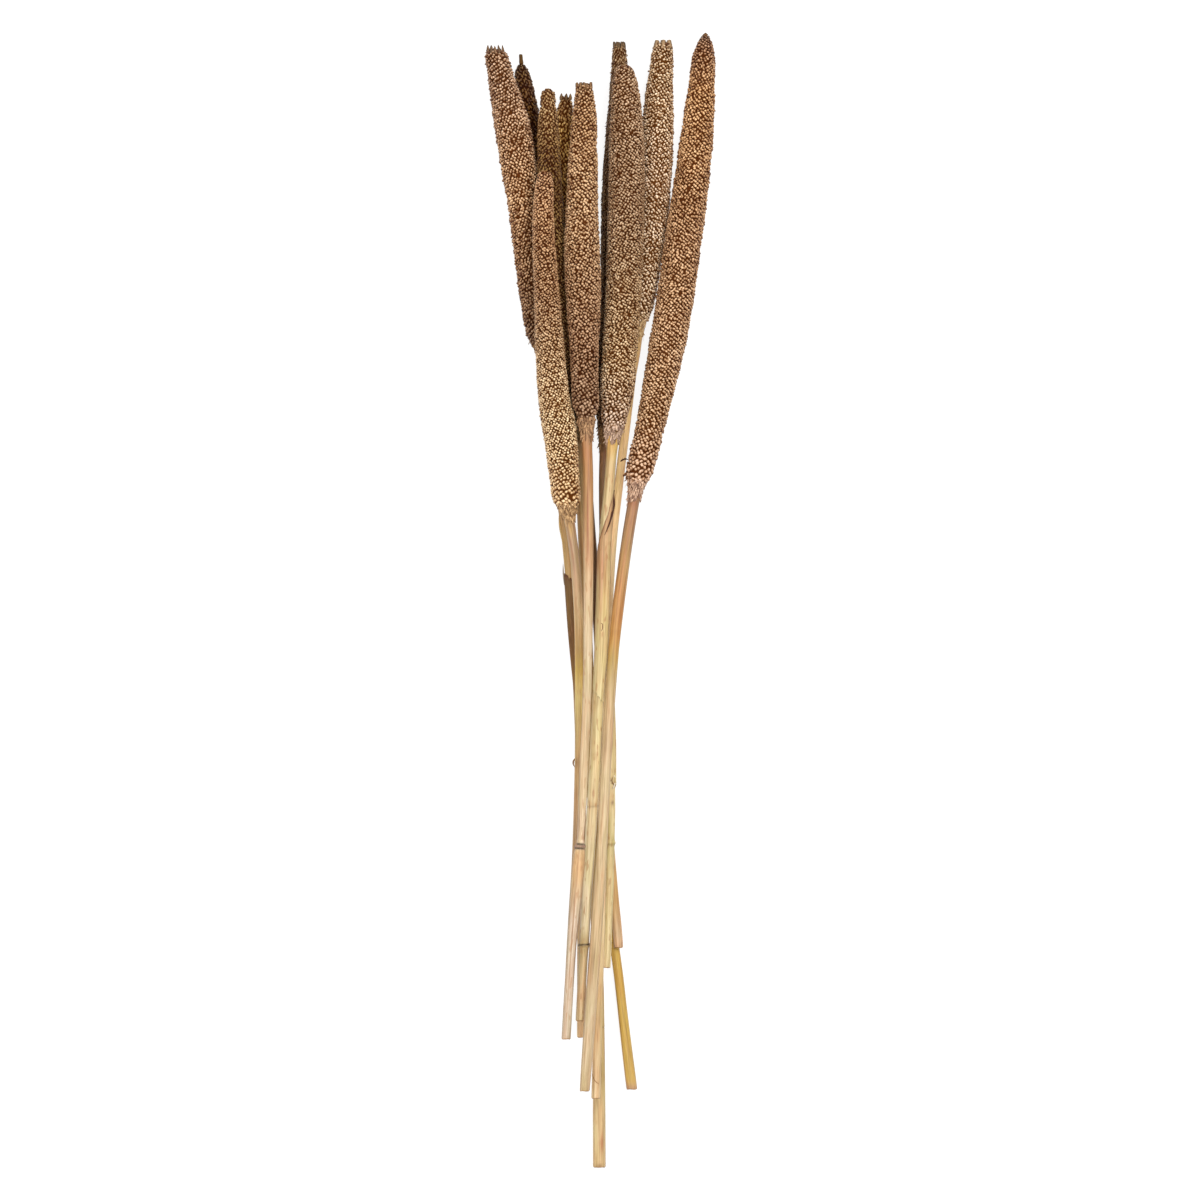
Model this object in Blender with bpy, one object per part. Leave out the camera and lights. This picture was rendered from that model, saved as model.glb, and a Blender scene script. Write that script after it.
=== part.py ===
# Ten dried millet stalks with their seed heads, lying crossed in one loose bunch on a flat surface.
# Every stalk has its own route seen from above, and is laid on those placed before it.
import bmesh
import bpy
import math
import numpy as np

mm = 0.001

# Driving dimensions, in millimetres unless said otherwise. +Y runs from the cut ends to the heads.
touch_gap = 0.35          # air kept between two stalks that rest on each other
joint_gap = 0.3           # air between a head and the stem that carries it
head_sides = 12
head_rings = 27
lump_depth = 0.10         # how far the sunken points of a head lie in, as a share of its radius
ring_crowding = 0.35      # how much closer a head's rings stand near its two ends
stem_sides = 8
stem_ring_step = 36.0
end_bevel = 0.8
knot_swell = 0.55         # how far a stem swells at a knot
knot_half_length = 2.2
sheath_wall = 0.4
sheath_clearance = 0.3
ring_room = 3.0           # least distance between a sheath's slanted end and its next full ring
slant_share = 12.0        # how much of a slanted end each of its own rings takes up
head_weight = 2.0         # a head's weight for its volume, against a stem's
steepest = 0.30           # steepest slope tried for a stalk, rise over run
slope_steps = 3001

# Each stalk, in the order in which they are laid down. "route" lists (y, x) of its centre line,
# "head" (y, radius) of its seed head and "stem" (y, radius) of its stem. The head reaches from its
# first to its last point, and the stem from there to its own last point. "bow" is how far its two
# ends hang below its middle by its own curve. A sheath's "arc" counts the stem's edges that it
# covers, and its "slants" are how much each end's cut rises across it, at the top and the bottom.
stalks = [
    {
        "number": 2,
        "bow": 3.0,
        "route": [(336.6, -48.9), (329.6, -48.4), (295.7, -45.0), (227.9, -37.6), (184.8, -33.9),
                  (157.1, -31.4), (110.9, -26.5), (49.3, -20.9), (-12.3, -16.2), (-73.9, -12.9),
                  (-135.5, -11.4), (-197.1, -11.2), (-269.8, -11.4)],
        "head": [(336.6, 1.1), (331.4, 1.3), (328.9, 3.1), (317.2, 6.2), (301.8, 8.0), (277.2, 8.6),
                 (197.1, 8.6), (166.3, 6.8), (157.1, 4.9)],
        "stem": [(157.1, 4.0), (148.0, 3.0), (-269.8, 2.9)],
        "colour": (0.075, 0.032, 0.011),
    },
    {
        "number": 1,
        "bow": 4.0,
        "route": [(340.0, -64.7), (322.8, -61.0), (308.6, -57.6), (295.7, -54.6), (267.3, -49.9),
                  (242.7, -45.9), (215.6, -43.1), (184.8, -40.0), (157.1, -36.3), (104.7, -30.8),
                  (37.0, -20.9), (-24.6, -16.0), (-61.6, -12.1), (-147.8, -1.8), (-216.8, 9.5),
                  (-264.9, 15.2), (-301.8, 19.7)],
        "head": [(340.0, 4.9), (335.7, 6.8), (322.8, 8.0), (308.6, 9.5), (295.7, 11.1),
                 (264.9, 11.1), (224.8, 10.2), (184.8, 9.2), (163.9, 8.0), (157.1, 6.2)],
        "stem": [(157.1, 4.2), (148.0, 3.0), (104.7, 2.7), (14.2, 2.6), (-61.6, 2.8), (-250.0, 3.0),
                 (-290.0, 3.4), (-301.8, 3.4)],
        "sheath": {"top": 14.2, "bottom": -61.6, "slants": (5.0, 24.0), "arc": (0, 5)},
        "colour": (0.35, 0.14, 0.055),
    },
    {
        "number": 4,
        "bow": 6.0,
        "route": [(312.3, -20.9), (289.5, -22.2), (246.4, -21.6), (209.4, -19.7), (172.5, -16.6),
                  (135.5, -12.9), (110.9, -10.5), (49.3, -6.2), (-12.3, -1.5), (-110.9, 3.4),
                  (-178.0, 8.1), (-202.7, 11.1), (-214.4, 11.4)],
        "head": [(312.3, 2.5), (308.0, 4.3), (289.5, 6.2), (258.7, 7.7), (184.8, 7.7), (129.4, 7.4),
                 (110.9, 4.9)],
        "stem": [(110.9, 4.0), (102.0, 3.0), (-214.4, 2.95)],
        "colour": (0.156, 0.068, 0.021),
    },
    {
        "number": 3,
        "bow": 8.0,
        "route": [(315.1, -32.0), (301.8, -32.0), (271.0, -31.4), (234.1, -29.6), (197.1, -26.5),
                  (160.2, -22.2), (129.4, -17.2), (107.8, -13.6), (49.3, -11.1), (0.0, -8.6),
                  (-61.6, -6.2), (-123.2, -4.2), (-190.0, -2.9), (-246.4, -0.8), (-349.9, -0.4)],
        "head": [(315.1, 3.4), (313.0, 4.3), (302.5, 5.2), (295.1, 6.2), (277.2, 7.1), (234.1, 7.7),
                 (160.2, 8.0), (123.2, 7.4), (107.8, 4.9)],
        "stem": [(107.8, 4.0), (99.0, 3.1), (-123.2, 3.0), (-246.4, 3.4), (-320.0, 4.0), (-349.9, 4.0)],
        "colour": (0.22, 0.127, 0.045),
    },
    {
        "number": 7,
        "bow": 6.0,
        "route": [(344.0, 11.7), (333.9, 12.1), (293.2, 10.9), (240.2, 8.9), (197.1, 8.6),
                  (154.0, 6.5), (103.5, 2.8), (61.6, 2.0), (-18.5, 4.3), (-98.6, 7.1),
                  (-163.9, 6.1), (-226.7, 4.0)],
        "head": [(344.0, 3.4), (338.8, 4.3), (333.9, 4.8), (308.0, 6.2), (293.2, 7.1), (274.1, 7.7),
                 (240.2, 8.3), (184.8, 8.3), (123.2, 6.8), (103.5, 4.0)],
        "stem": [(103.5, 3.6), (96.0, 2.8), (34.0, 2.8), (20.0, 2.2), (-114.0, 2.3), (-130.0, 2.7),
                 (-226.7, 2.6)],
        "knots": [-149.7],
        "sheath": {"top": 20.0, "bottom": -112.7, "slants": (-9.0, -9.0), "arc": (-1, 5)},
        "colour": (0.19, 0.09, 0.03),
    },
    {
        "number": 9,
        "bow": 10.0,
        "route": [(344.3, 38.8), (331.4, 38.1), (308.0, 36.2), (274.1, 35.4), (248.9, 33.8),
                  (215.6, 29.6), (181.1, 24.6), (141.7, 20.0), (92.4, 14.2), (24.6, 6.8),
                  (-61.6, 3.1), (-184.8, 0.6), (-307.2, -2.6)],
        "head": [(344.3, 5.4), (338.8, 6.4), (331.4, 7.2), (320.9, 7.9), (314.2, 8.6), (308.0, 9.2),
                 (292.6, 9.5), (215.6, 9.5), (184.8, 8.9), (172.5, 6.4)],
        "stem": [(172.5, 4.2), (151.0, 3.7), (138.0, 2.8), (-307.2, 2.8)],
        "colour": (0.30, 0.205, 0.102),
    },
    {
        "number": 8,
        "bow": 12.0,
        "route": [(330.2, 14.8), (295.1, 16.3), (269.2, 16.4), (240.2, 16.0), (197.1, 14.8),
                  (141.7, 11.3), (104.7, 8.3), (61.6, 4.9), (37.0, 2.8), (-15.4, 1.4), (-54.8, -0.9),
                  (-100.4, -2.9), (-131.8, -4.9), (-187.9, -8.6), (-212.8, -9.9), (-259.3, -12.4)],
        "head": [(330.2, 3.7), (326.5, 5.5), (320.9, 7.7), (314.2, 8.6), (305.5, 9.2), (295.1, 10.2),
                 (269.2, 11.2), (240.2, 11.4), (197.1, 11.3), (172.5, 10.9), (141.7, 10.9),
                 (129.4, 10.5), (114.0, 8.3), (104.7, 6.2)],
        "stem": [(104.7, 5.0), (95.0, 3.6), (88.0, 3.2), (62.0, 3.4), (40.0, 3.7), (-160.0, 3.6),
                 (-190.0, 3.3), (-212.8, 3.1), (-220.0, 2.8), (-259.3, 2.7)],
        "knots": [-212.8],
        "sheath": {"top": 51.0, "bottom": -60.0, "slants": (-34.0, -18.0), "arc": (-1, 5)},
        "colour": (0.26, 0.162, 0.07),
    },
    {
        "number": 10,
        "bow": 20.0,
        "route": [(349.9, 65.1), (337.0, 64.1), (303.1, 61.4), (261.8, 56.9), (221.1, 51.1),
                  (181.7, 45.6), (147.2, 39.5), (109.0, 31.4), (71.5, 22.8), (47.4, 18.5),
                  (6.8, 12.6), (-30.8, 8.4), (-93.6, 4.3), (-161.4, 0.6), (-240.2, -4.9),
                  (-302.5, -9.5)],
        "head": [(349.9, 0.9), (346.2, 1.4), (345.0, 3.7), (337.0, 6.8), (328.9, 7.7), (311.1, 8.8),
                 (288.3, 10.0), (274.7, 10.7), (246.4, 11.2), (221.1, 11.7), (160.2, 11.7),
                 (147.2, 11.1), (126.9, 10.2), (109.0, 9.4), (84.4, 8.9), (78.2, 8.6), (71.5, 6.2)],
        "stem": [(71.5, 4.3), (60.0, 3.7), (0.0, 3.7), (-30.0, 3.4), (-93.0, 3.1), (-135.0, 3.1),
                 (-164.0, 3.6), (-225.0, 3.7), (-265.0, 3.6), (-290.0, 3.4), (-302.5, 3.1)],
        "colour": (0.35, 0.141, 0.045),
    },
    {
        "number": 6,
        "bow": 6.0,
        "route": [(264.3, -33.9), (235.3, -34.9), (183.0, -32.4), (131.8, -29.0), (104.1, -24.8),
                  (56.7, -20.0), (33.9, -16.6), (0.0, -13.4), (-49.3, -12.7), (-89.3, -12.8),
                  (-147.8, -14.3), (-215.6, -18.2), (-266.1, -20.6)],
        "head": [(264.3, 3.7), (256.3, 5.5), (240.2, 6.7), (210.7, 7.3), (183.0, 8.3), (155.2, 9.1),
                 (131.8, 9.8), (117.0, 10.6), (104.1, 10.6), (92.4, 10.1), (70.8, 9.5), (62.8, 8.9),
                 (56.7, 6.2)],
        "stem": [(56.7, 4.6), (49.0, 3.3), (42.0, 3.1), (-30.0, 2.8), (-266.1, 2.5)],
        "colour": (0.35, 0.188, 0.07),
    },
    {
        "number": 5,
        "bow": 8.0,
        "route": [(318.5, -9.9), (305.5, -9.5), (272.3, -10.5), (226.1, -11.2), (183.0, -10.2),
                  (141.7, -9.5), (109.0, -8.3), (61.6, -7.1), (12.3, -7.1), (-49.3, -7.7),
                  (-86.2, -9.2), (-141.7, -11.7), (-178.6, -14.5), (-215.6, -17.6), (-270.4, -20.9)],
        "head": [(318.5, 4.9), (311.1, 6.0), (300.0, 7.5), (279.7, 8.8), (264.3, 9.5), (240.2, 10.0),
                 (226.1, 10.9), (205.7, 11.2), (183.0, 10.9), (167.6, 9.9), (141.7, 8.6),
                 (123.2, 8.6), (109.0, 4.6)],
        "stem": [(109.0, 4.2), (99.0, 3.3), (92.0, 3.1), (24.0, 3.1), (-25.0, 2.8), (-123.0, 2.7),
                 (-147.0, 2.1), (-156.0, 3.6), (-164.0, 4.0), (-185.0, 3.8), (-213.0, 2.9),
                 (-270.4, 2.9)],
        "knots": [-151.5],
        "colour": (0.38, 0.17, 0.08),
    },
]
stem_colour = (0.62, 0.43, 0.20)
sheath_colour = (0.50, 0.37, 0.16)


def smooth(points, at):
    # A cubic through (y, value) points. Its slope at a point is the harmonic mean of the slopes on
    # both sides, or zero where they turn round, so it never swings past the points.
    y, value = np.array(sorted(points)).T
    step = np.diff(y)
    rise = np.diff(value) / step
    product = rise[:-1] * rise[1:]
    total = np.where(product > 0, rise[:-1] + rise[1:], 1.0)
    slope = np.concatenate(([rise[0]], np.where(product > 0, 2 * product / total, 0.0), [rise[-1]]))
    k = np.clip(np.searchsorted(y, at) - 1, 0, len(step) - 1)
    t = (at - y[k]) / step[k]
    start = value[k] * (1 + 2 * t) * (1 - t) ** 2 + slope[k] * step[k] * t * (1 - t) ** 2
    finish = value[k + 1] * t * t * (3 - 2 * t) - slope[k + 1] * step[k] * t * t * (1 - t)
    return start + finish


def head_trace(stalk):
    # The y, x and radius of a head's rings from its tip to its base, closer together at both ends.
    share = np.linspace(0.0, 1.0, head_rings)
    eased = (1 - ring_crowding) * share + ring_crowding * (1 - np.cos(math.pi * share)) / 2
    top = stalk["head"][0][0]
    base = stalk["head"][-1][0]
    y = top + (base - top) * eased
    return np.stack([y, smooth(stalk["route"], y), smooth(stalk["head"], y)])


def stem_trace(stalk):
    # The y, x and radius of a stem's rings from its head to its cut end, with extra rings where
    # its thickness changes, at its knots, at the ends of its sheath and at the bevelled end.
    top = stalk["stem"][0][0] - joint_gap
    end = stalk["stem"][-1][0]
    knots = stalk.get("knots", [])
    stations = list(np.linspace(top, end, 1 + math.ceil((top - end) / stem_ring_step)))
    stations += [y for y, _ in stalk["stem"][1:-1]]
    stations += [knot + offset * knot_half_length for knot in knots for offset in (-1, 0, 1)]
    stations += [end + end_bevel]
    y = np.array(sorted(stations, reverse=True))
    radius = np.interp(-y, [-station for station, _ in stalk["stem"]], [r for _, r in stalk["stem"]])
    for knot in knots:
        radius = radius + knot_swell * (np.abs(y - knot) < knot_half_length / 2)
    radius[-1] = radius[-1] * 0.8
    return np.stack([y, smooth(stalk["route"], y), radius])


def outer_radius(stalk, y):
    # The room that the stalk takes at y: its head, its stem, or its stem with the sheath round it.
    radius = np.interp(-y, -stalk["trace"][0], stalk["trace"][2], left=np.nan, right=np.nan)
    if "sheath" in stalk:
        top_slant, bottom_slant = stalk["sheath"]["slants"]
        above = y > stalk["sheath"]["bottom"] - abs(bottom_slant) / 2
        below = y < stalk["sheath"]["top"] + abs(top_slant) / 2
        radius = radius + (sheath_clearance + sheath_wall) * (above & below)
    return radius


def droop(stalk, y):
    # How far the stalk's own bow lowers it at y: nothing at its middle, and its whole bow at its ends.
    top = stalk["trace"][0][0]
    end = stalk["trace"][0][-1]
    return stalk["bow"] * ((2 * y - top - end) / (top - end)) ** 2


def lay_down(stalk, placed):
    # Seen from the side the stalk is z = lift + slope * y - droop. It clears the floor and the
    # stalks under it everywhere, and its centre of mass lies as low as that allows, so the two
    # places where it touches are on either side of its centre of mass.
    y = np.arange(-352.0, 352.0, 1.0)
    radius = outer_radius(stalk, y)
    inside = ~np.isnan(radius)
    y = y[inside]
    radius = radius[inside]
    x = np.interp(-y, -stalk["trace"][0], stalk["trace"][1])
    least = radius.copy()
    for other in placed:
        other_radius = outer_radius(other, y)
        other_x = np.interp(-y, -other["trace"][0], other["trace"][1])
        reach = np.nan_to_num(radius + other_radius + touch_gap)
        room = reach ** 2 - (x - other_x) ** 2
        top = centre_of(other, y)[1] + np.sqrt(np.maximum(room, 0))
        least = np.where((reach > 0) & (room > 0), np.maximum(least, top), least)
    weight = radius ** 2 * np.where(y > stalk["head"][-1][0], head_weight, 1.0)
    middle = np.sum(weight * y) / np.sum(weight)
    least = least + droop(stalk, y)
    slopes = np.linspace(-steepest, steepest, slope_steps)
    lifts = np.max(least[None, :] - slopes[:, None] * y[None, :], axis=1)
    best = np.argmin(lifts + slopes * middle)
    stalk["lift"] = lifts[best]
    stalk["slope"] = slopes[best]


def centre_of(stalk, y):
    x = np.interp(-y, -stalk["trace"][0], stalk["trace"][1])
    return x, stalk["lift"] + stalk["slope"] * y - droop(stalk, y)


def make_material(name, colour, roughness):
    material = bpy.data.materials.new(name)
    material.use_nodes = True
    shader = material.node_tree.nodes["Principled BSDF"]
    shader.inputs["Base Color"].default_value = (*colour, 1.0)
    shader.inputs["Roughness"].default_value = roughness
    shader.inputs["Metallic"].default_value = 0.0
    return material


def make_object(name, vertices, faces, colour, roughness):
    mesh = bpy.data.meshes.new(name)
    mesh.from_pydata([tuple(point) for point in vertices], [], faces)
    shell = bmesh.new()
    shell.from_mesh(mesh)
    bmesh.ops.recalc_face_normals(shell, faces=shell.faces)
    shell.to_mesh(mesh)
    shell.free()
    mesh.materials.append(make_material(name, colour, roughness))
    made = bpy.data.objects.new(name, mesh)
    bpy.context.collection.objects.link(made)
    return made


def turned_body(stalk, trace, sides, depth):
    # Rings in planes across Y, joined by triangles. Every second point of a ring is sunk by depth,
    # in turn from ring to ring, and the ridges run from one raised point to the next.
    y, _, radius = trace
    x, z = centre_of(stalk, y)
    angle = 2 * math.pi * np.arange(sides) / sides
    sunk = (np.arange(len(y))[:, None] + np.arange(sides)[None, :]) % 2
    reach = radius[:, None] * (1 - depth * sunk)
    points = np.empty((len(y), sides, 3))
    points[:, :, 0] = x[:, None] + reach * np.cos(angle)
    points[:, :, 1] = y[:, None]
    points[:, :, 2] = z[:, None] + reach * np.sin(angle)
    faces = [list(range(sides)), list(range((len(y) - 1) * sides, len(y) * sides))]
    for ring in range(len(y) - 1):
        for side in range(sides):
            a = ring * sides + side
            b = ring * sides + (side + 1) % sides
            c = b + sides
            d = a + sides
            if (ring + side) % 2:
                faces += [(a, b, d), (b, c, d)]
            else:
                faces += [(a, b, c), (a, c, d)]
    return points.reshape(-1, 3), faces


def slanted_end(edge, slant, inward):
    # The y and slant of the rings of a sheath's end, from its edge inward. The slant fades out from
    # ring to ring, so that the wall follows a stem that curves beside a long slanted cut.
    count = math.ceil(abs(slant) / slant_share)
    step = (abs(slant) / 2 + ring_room) / count
    y = [edge + inward * step * ring for ring in range(count)]
    return y, [slant * (1 - ring / count) for ring in range(count)]


def sheath_body(stalk):
    # A thin wall round part of the stem, its ends cut on a slant. Its points stand over the stem's
    # own edges, so that the clearance is even.
    sheath = stalk["sheath"]
    first, last = sheath["arc"]
    turn = np.arange(first, last + 1)
    angle = 2 * math.pi * turn / stem_sides
    top_slant, bottom_slant = sheath["slants"]
    top_y, top_slants = slanted_end(sheath["top"], top_slant, -1)
    bottom_y, bottom_slants = slanted_end(sheath["bottom"], -bottom_slant, 1)
    highest = sheath["top"] - abs(top_slant) / 2 - ring_room
    lowest = sheath["bottom"] + abs(bottom_slant) / 2 + ring_room
    full_y = [y for y in stalk["trace"][0] if lowest < y < highest]
    ring_y = np.array([*top_y, *full_y, *reversed(bottom_y)])
    slant = np.array([*top_slants, *(0.0 for _ in full_y), *reversed(bottom_slants)])
    y = ring_y[:, None] + slant[:, None] * ((turn - first) / (last - first) - 0.5)[None, :]
    x, z = centre_of(stalk, y)
    stem_radius = np.interp(-y, -stalk["trace"][0], stalk["trace"][2])
    rings = len(ring_y)
    count = len(turn)
    points = []
    for extra in (sheath_clearance, sheath_clearance + sheath_wall):
        reach = stem_radius + extra
        points.append(np.stack([x + reach * np.cos(angle), y, z + reach * np.sin(angle)], axis=2))
    outside = rings * count
    faces = []
    for ring in range(rings - 1):
        for step in range(count - 1):
            a = ring * count + step
            square = (a, a + 1, a + 1 + count, a + count)
            faces.append(square)
            faces.append(tuple(corner + outside for corner in square))
        for step in (0, count - 1):
            a = ring * count + step
            faces.append((a, a + count, a + count + outside, a + outside))
    for ring in (0, rings - 1):
        for step in range(count - 1):
            a = ring * count + step
            faces.append((a, a + 1, a + 1 + outside, a + outside))
    return np.concatenate([points[0].reshape(-1, 3), points[1].reshape(-1, 3)]), faces


def bodies_of(stalk):
    # The name, points, faces, colour and roughness of each solid of one stalk.
    number = stalk["number"]
    head = turned_body(stalk, stalk["head_rings"], head_sides, lump_depth)
    stem = turned_body(stalk, stalk["stem_rings"], stem_sides, 0.0)
    found = [
        (f"head_{number}", *head, stalk["colour"], 0.85),
        (f"stem_{number}", *stem, stem_colour, 0.6),
    ]
    if "sheath" in stalk:
        found.append((f"sheath_{number}", *sheath_body(stalk), sheath_colour, 0.65))
    return found


for old in list(bpy.data.objects):
    bpy.data.objects.remove(old, do_unlink=True)

laid = []
for stalk in stalks:
    stalk["head_rings"] = head_trace(stalk)
    stalk["stem_rings"] = stem_trace(stalk)
    stalk["trace"] = np.concatenate([stalk["head_rings"], stalk["stem_rings"]], axis=1)
    lay_down(stalk, laid)
    laid.append(stalk)

# The origin is under the middle of the bunch, on the surface that it lies on.
bodies = [body for stalk in sorted(stalks, key=lambda stalk: stalk["number"]) for body in bodies_of(stalk)]
cloud = np.concatenate([points for _, points, _, _, _ in bodies])
lowest = cloud.min(axis=0)
middle = (lowest + cloud.max(axis=0)) / 2
origin = np.array([middle[0], middle[1], lowest[2]])
for name, points, faces, colour, roughness in bodies:
    make_object(name, (points - origin) * mm, faces, colour, roughness)
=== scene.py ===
import math
import bpy
import numpy as np
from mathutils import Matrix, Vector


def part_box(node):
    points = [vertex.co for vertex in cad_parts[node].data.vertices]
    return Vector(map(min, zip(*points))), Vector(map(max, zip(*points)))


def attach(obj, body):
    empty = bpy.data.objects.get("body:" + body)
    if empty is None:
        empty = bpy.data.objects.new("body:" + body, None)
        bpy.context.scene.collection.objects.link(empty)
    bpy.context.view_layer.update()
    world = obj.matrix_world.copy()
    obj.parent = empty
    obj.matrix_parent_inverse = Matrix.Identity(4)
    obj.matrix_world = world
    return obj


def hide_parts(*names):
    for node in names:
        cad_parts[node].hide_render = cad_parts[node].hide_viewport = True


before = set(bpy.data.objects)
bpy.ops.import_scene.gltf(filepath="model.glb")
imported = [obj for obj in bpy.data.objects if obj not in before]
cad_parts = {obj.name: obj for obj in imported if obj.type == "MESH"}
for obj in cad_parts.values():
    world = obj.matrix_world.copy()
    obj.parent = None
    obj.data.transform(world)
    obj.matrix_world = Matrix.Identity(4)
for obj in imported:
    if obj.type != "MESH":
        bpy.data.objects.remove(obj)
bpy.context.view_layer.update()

mm = 0.001
tau = 2 * math.pi
lowestPoint = 0.02 * mm      # whatever hangs lower than this lies on the floor


# Small helpers: colours, smooth lines and meshes

def linear(rgb):
    # screen colour 0 to 255 into linear light: v / 12.92 near black, ((v + 0.055) / 1.055) ^ 2.4 above
    v = np.asarray(rgb, dtype=float) / 255.0
    return np.where(v <= 0.04045, v / 12.92, ((v + 0.055) / 1.055) ** 2.4)


def smoothLine(stations, values, at):
    # monotone cubic: the slope at a station is the harmonic mean of the slopes beside it, so no overshoot
    order = np.argsort(stations)
    x = np.asarray(stations, dtype=float)[order]
    v = np.asarray(values, dtype=float)[order]
    step = np.diff(x)
    rise = np.diff(v) / step
    product = rise[:-1] * rise[1:]
    total = np.where(product > 0, rise[:-1] + rise[1:], 1.0)
    slope = np.concatenate(([rise[0]], np.where(product > 0, 2 * product / total, 0.0), [rise[-1]]))
    k = np.clip(np.searchsorted(x, at) - 1, 0, len(step) - 1)
    t = np.clip((at - x[k]) / step[k], 0.0, 1.0)
    low = v[k] * (1 + 2 * t) * (1 - t) ** 2 + slope[k] * step[k] * t * (1 - t) ** 2
    high = v[k + 1] * t * t * (3 - 2 * t) - slope[k + 1] * step[k] * t * t * (1 - t)
    return low + high


def ringsOf(node):
    # the CAD node's rings: points that share one Y, with the middle of their box and their reach
    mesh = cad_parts[node].data
    flat = np.empty(len(mesh.vertices) * 3, dtype=np.float32)
    mesh.vertices.foreach_get("co", flat)
    points = np.unique(np.round(flat.reshape(-1, 3).astype(float), 6), axis=0)
    level = np.round(points[:, 1], 5)
    found = []
    for y in np.unique(level):
        ring = points[level == y]
        if len(ring) >= 6:
            x = (ring[:, 0].min() + ring[:, 0].max()) / 2
            z = (ring[:, 2].min() + ring[:, 2].max()) / 2
            reach = np.hypot(ring[:, 0] - x, ring[:, 2] - z).max()
            found.append((y, x, z, reach))
    return np.array(found)


# how many numbers an attribute has at a point, with Blender's names for its kind and its field
layerKinds = {1: ("FLOAT", "value"), 3: ("FLOAT_VECTOR", "vector"), 4: ("FLOAT_COLOR", "color")}


def makePiece(name, points, faces, material, nodes, attributes):
    # faces is a list of whole arrays, each of triangles or of quads; attributes maps a name to an array
    mesh = bpy.data.meshes.new(name)
    loops = np.concatenate([part.reshape(-1) for part in faces]).astype(np.int32)
    sizes = np.concatenate([np.full(len(part), part.shape[1]) for part in faces]).astype(np.int32)
    starts = np.concatenate(([0], np.cumsum(sizes)[:-1])).astype(np.int32)
    points = np.array(points, dtype=np.float32)
    points[:, 2] = np.maximum(points[:, 2], lowestPoint)
    mesh.vertices.add(len(points))
    mesh.vertices.foreach_set("co", points.reshape(-1))
    mesh.loops.add(len(loops))
    mesh.loops.foreach_set("vertex_index", loops)
    mesh.polygons.add(len(sizes))
    mesh.polygons.foreach_set("loop_start", starts)
    mesh.polygons.foreach_set("use_smooth", np.ones(len(sizes), dtype=bool))
    mesh.update(calc_edges=True)
    for label, values in attributes.items():
        values = np.asarray(values, dtype=np.float32)
        kind, field = layerKinds[values.size // len(points)]
        mesh.attributes.new(label, kind, "POINT").data.foreach_set(field, values.reshape(-1))
    mesh.materials.append(material)
    mesh.validate()
    piece = bpy.data.objects.new(name, mesh)
    bpy.context.scene.collection.objects.link(piece)
    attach(piece, "root")
    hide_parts(*nodes)


def gridFaces(rows, columns, first=0, closed=True):
    # quads between neighbouring rows of a grid; closed joins the last column to the first
    span = columns if closed else columns - 1
    row, column = np.meshgrid(np.arange(rows - 1), np.arange(span), indexing="ij")
    a = first + row * columns + column
    b = first + row * columns + (column + 1) % columns
    return np.stack([a, b, b + columns, a + columns], axis=-1).reshape(-1, 4)


def fanFaces(ring, centre, turned=False):
    # triangles from a ring of points to one middle point
    nextOne = np.roll(ring, -1)
    middle = np.full(len(ring), centre)
    return np.stack([nextOne, ring, middle] if turned else [ring, nextOne, middle], axis=-1)


def tubeFaces(rows, sides, turned=True):
    # a closed tube: its rows of points come first, then the pole of its first end, then that of its last
    total = rows * sides
    ring = np.arange(sides)
    body = gridFaces(rows, sides)
    ends = [fanFaces(ring, total, not turned), fanFaces(ring + total - sides, total + 1, turned)]
    return [body[:, ::-1] if turned else body, *ends]


def roundPoints(x, y, z, reach, angle):
    # points round (x, z) at height y along the stalk: x + reach * cosine, y, z + reach * sine
    return np.stack(np.broadcast_arrays(x + reach * np.cos(angle), y, z + reach * np.sin(angle)), axis=-1)


def coloursAlong(stops, y):
    # the colour at y in linear light, between stops of (y in millimetres, red, green, blue), highest first
    rows = np.array(stops, dtype=float)[::-1]
    light = linear(rows[:, 1:])
    return np.stack([np.interp(y, rows[:, 0] * mm, light[:, k]) for k in range(3)], axis=-1)


def blendTint(tint, rgb, share):
    # moves a tint towards a screen colour, in place, by a share from 0 to 1 at each point
    tint[..., :3] = tint[..., :3] * (1 - share[..., None]) + linear(rgb) * share[..., None]


def unit(vectors):
    return vectors / np.maximum(np.linalg.norm(vectors, axis=-1, keepdims=True), 1e-12)


# Shared effects as node groups

def newGroup(name, inputs, outputs):
    group = bpy.data.node_groups.new(name, "ShaderNodeTree")
    for label, kind, value in inputs:
        group.interface.new_socket(label, in_out="INPUT", socket_type=kind).default_value = value
    for label, kind in outputs:
        group.interface.new_socket(label, in_out="OUTPUT", socket_type=kind)
    return group, group.nodes.new("NodeGroupInput"), group.nodes.new("NodeGroupOutput")


def mathNode(tree, operation, first, second, clamped=False):
    node = tree.nodes.new("ShaderNodeMath")
    node.operation = operation
    node.use_clamp = clamped
    for socket, value in zip(node.inputs, (first, second)):
        if isinstance(value, (int, float)):
            socket.default_value = value
        else:
            tree.links.new(value, socket)
    return node.outputs[0]


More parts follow.
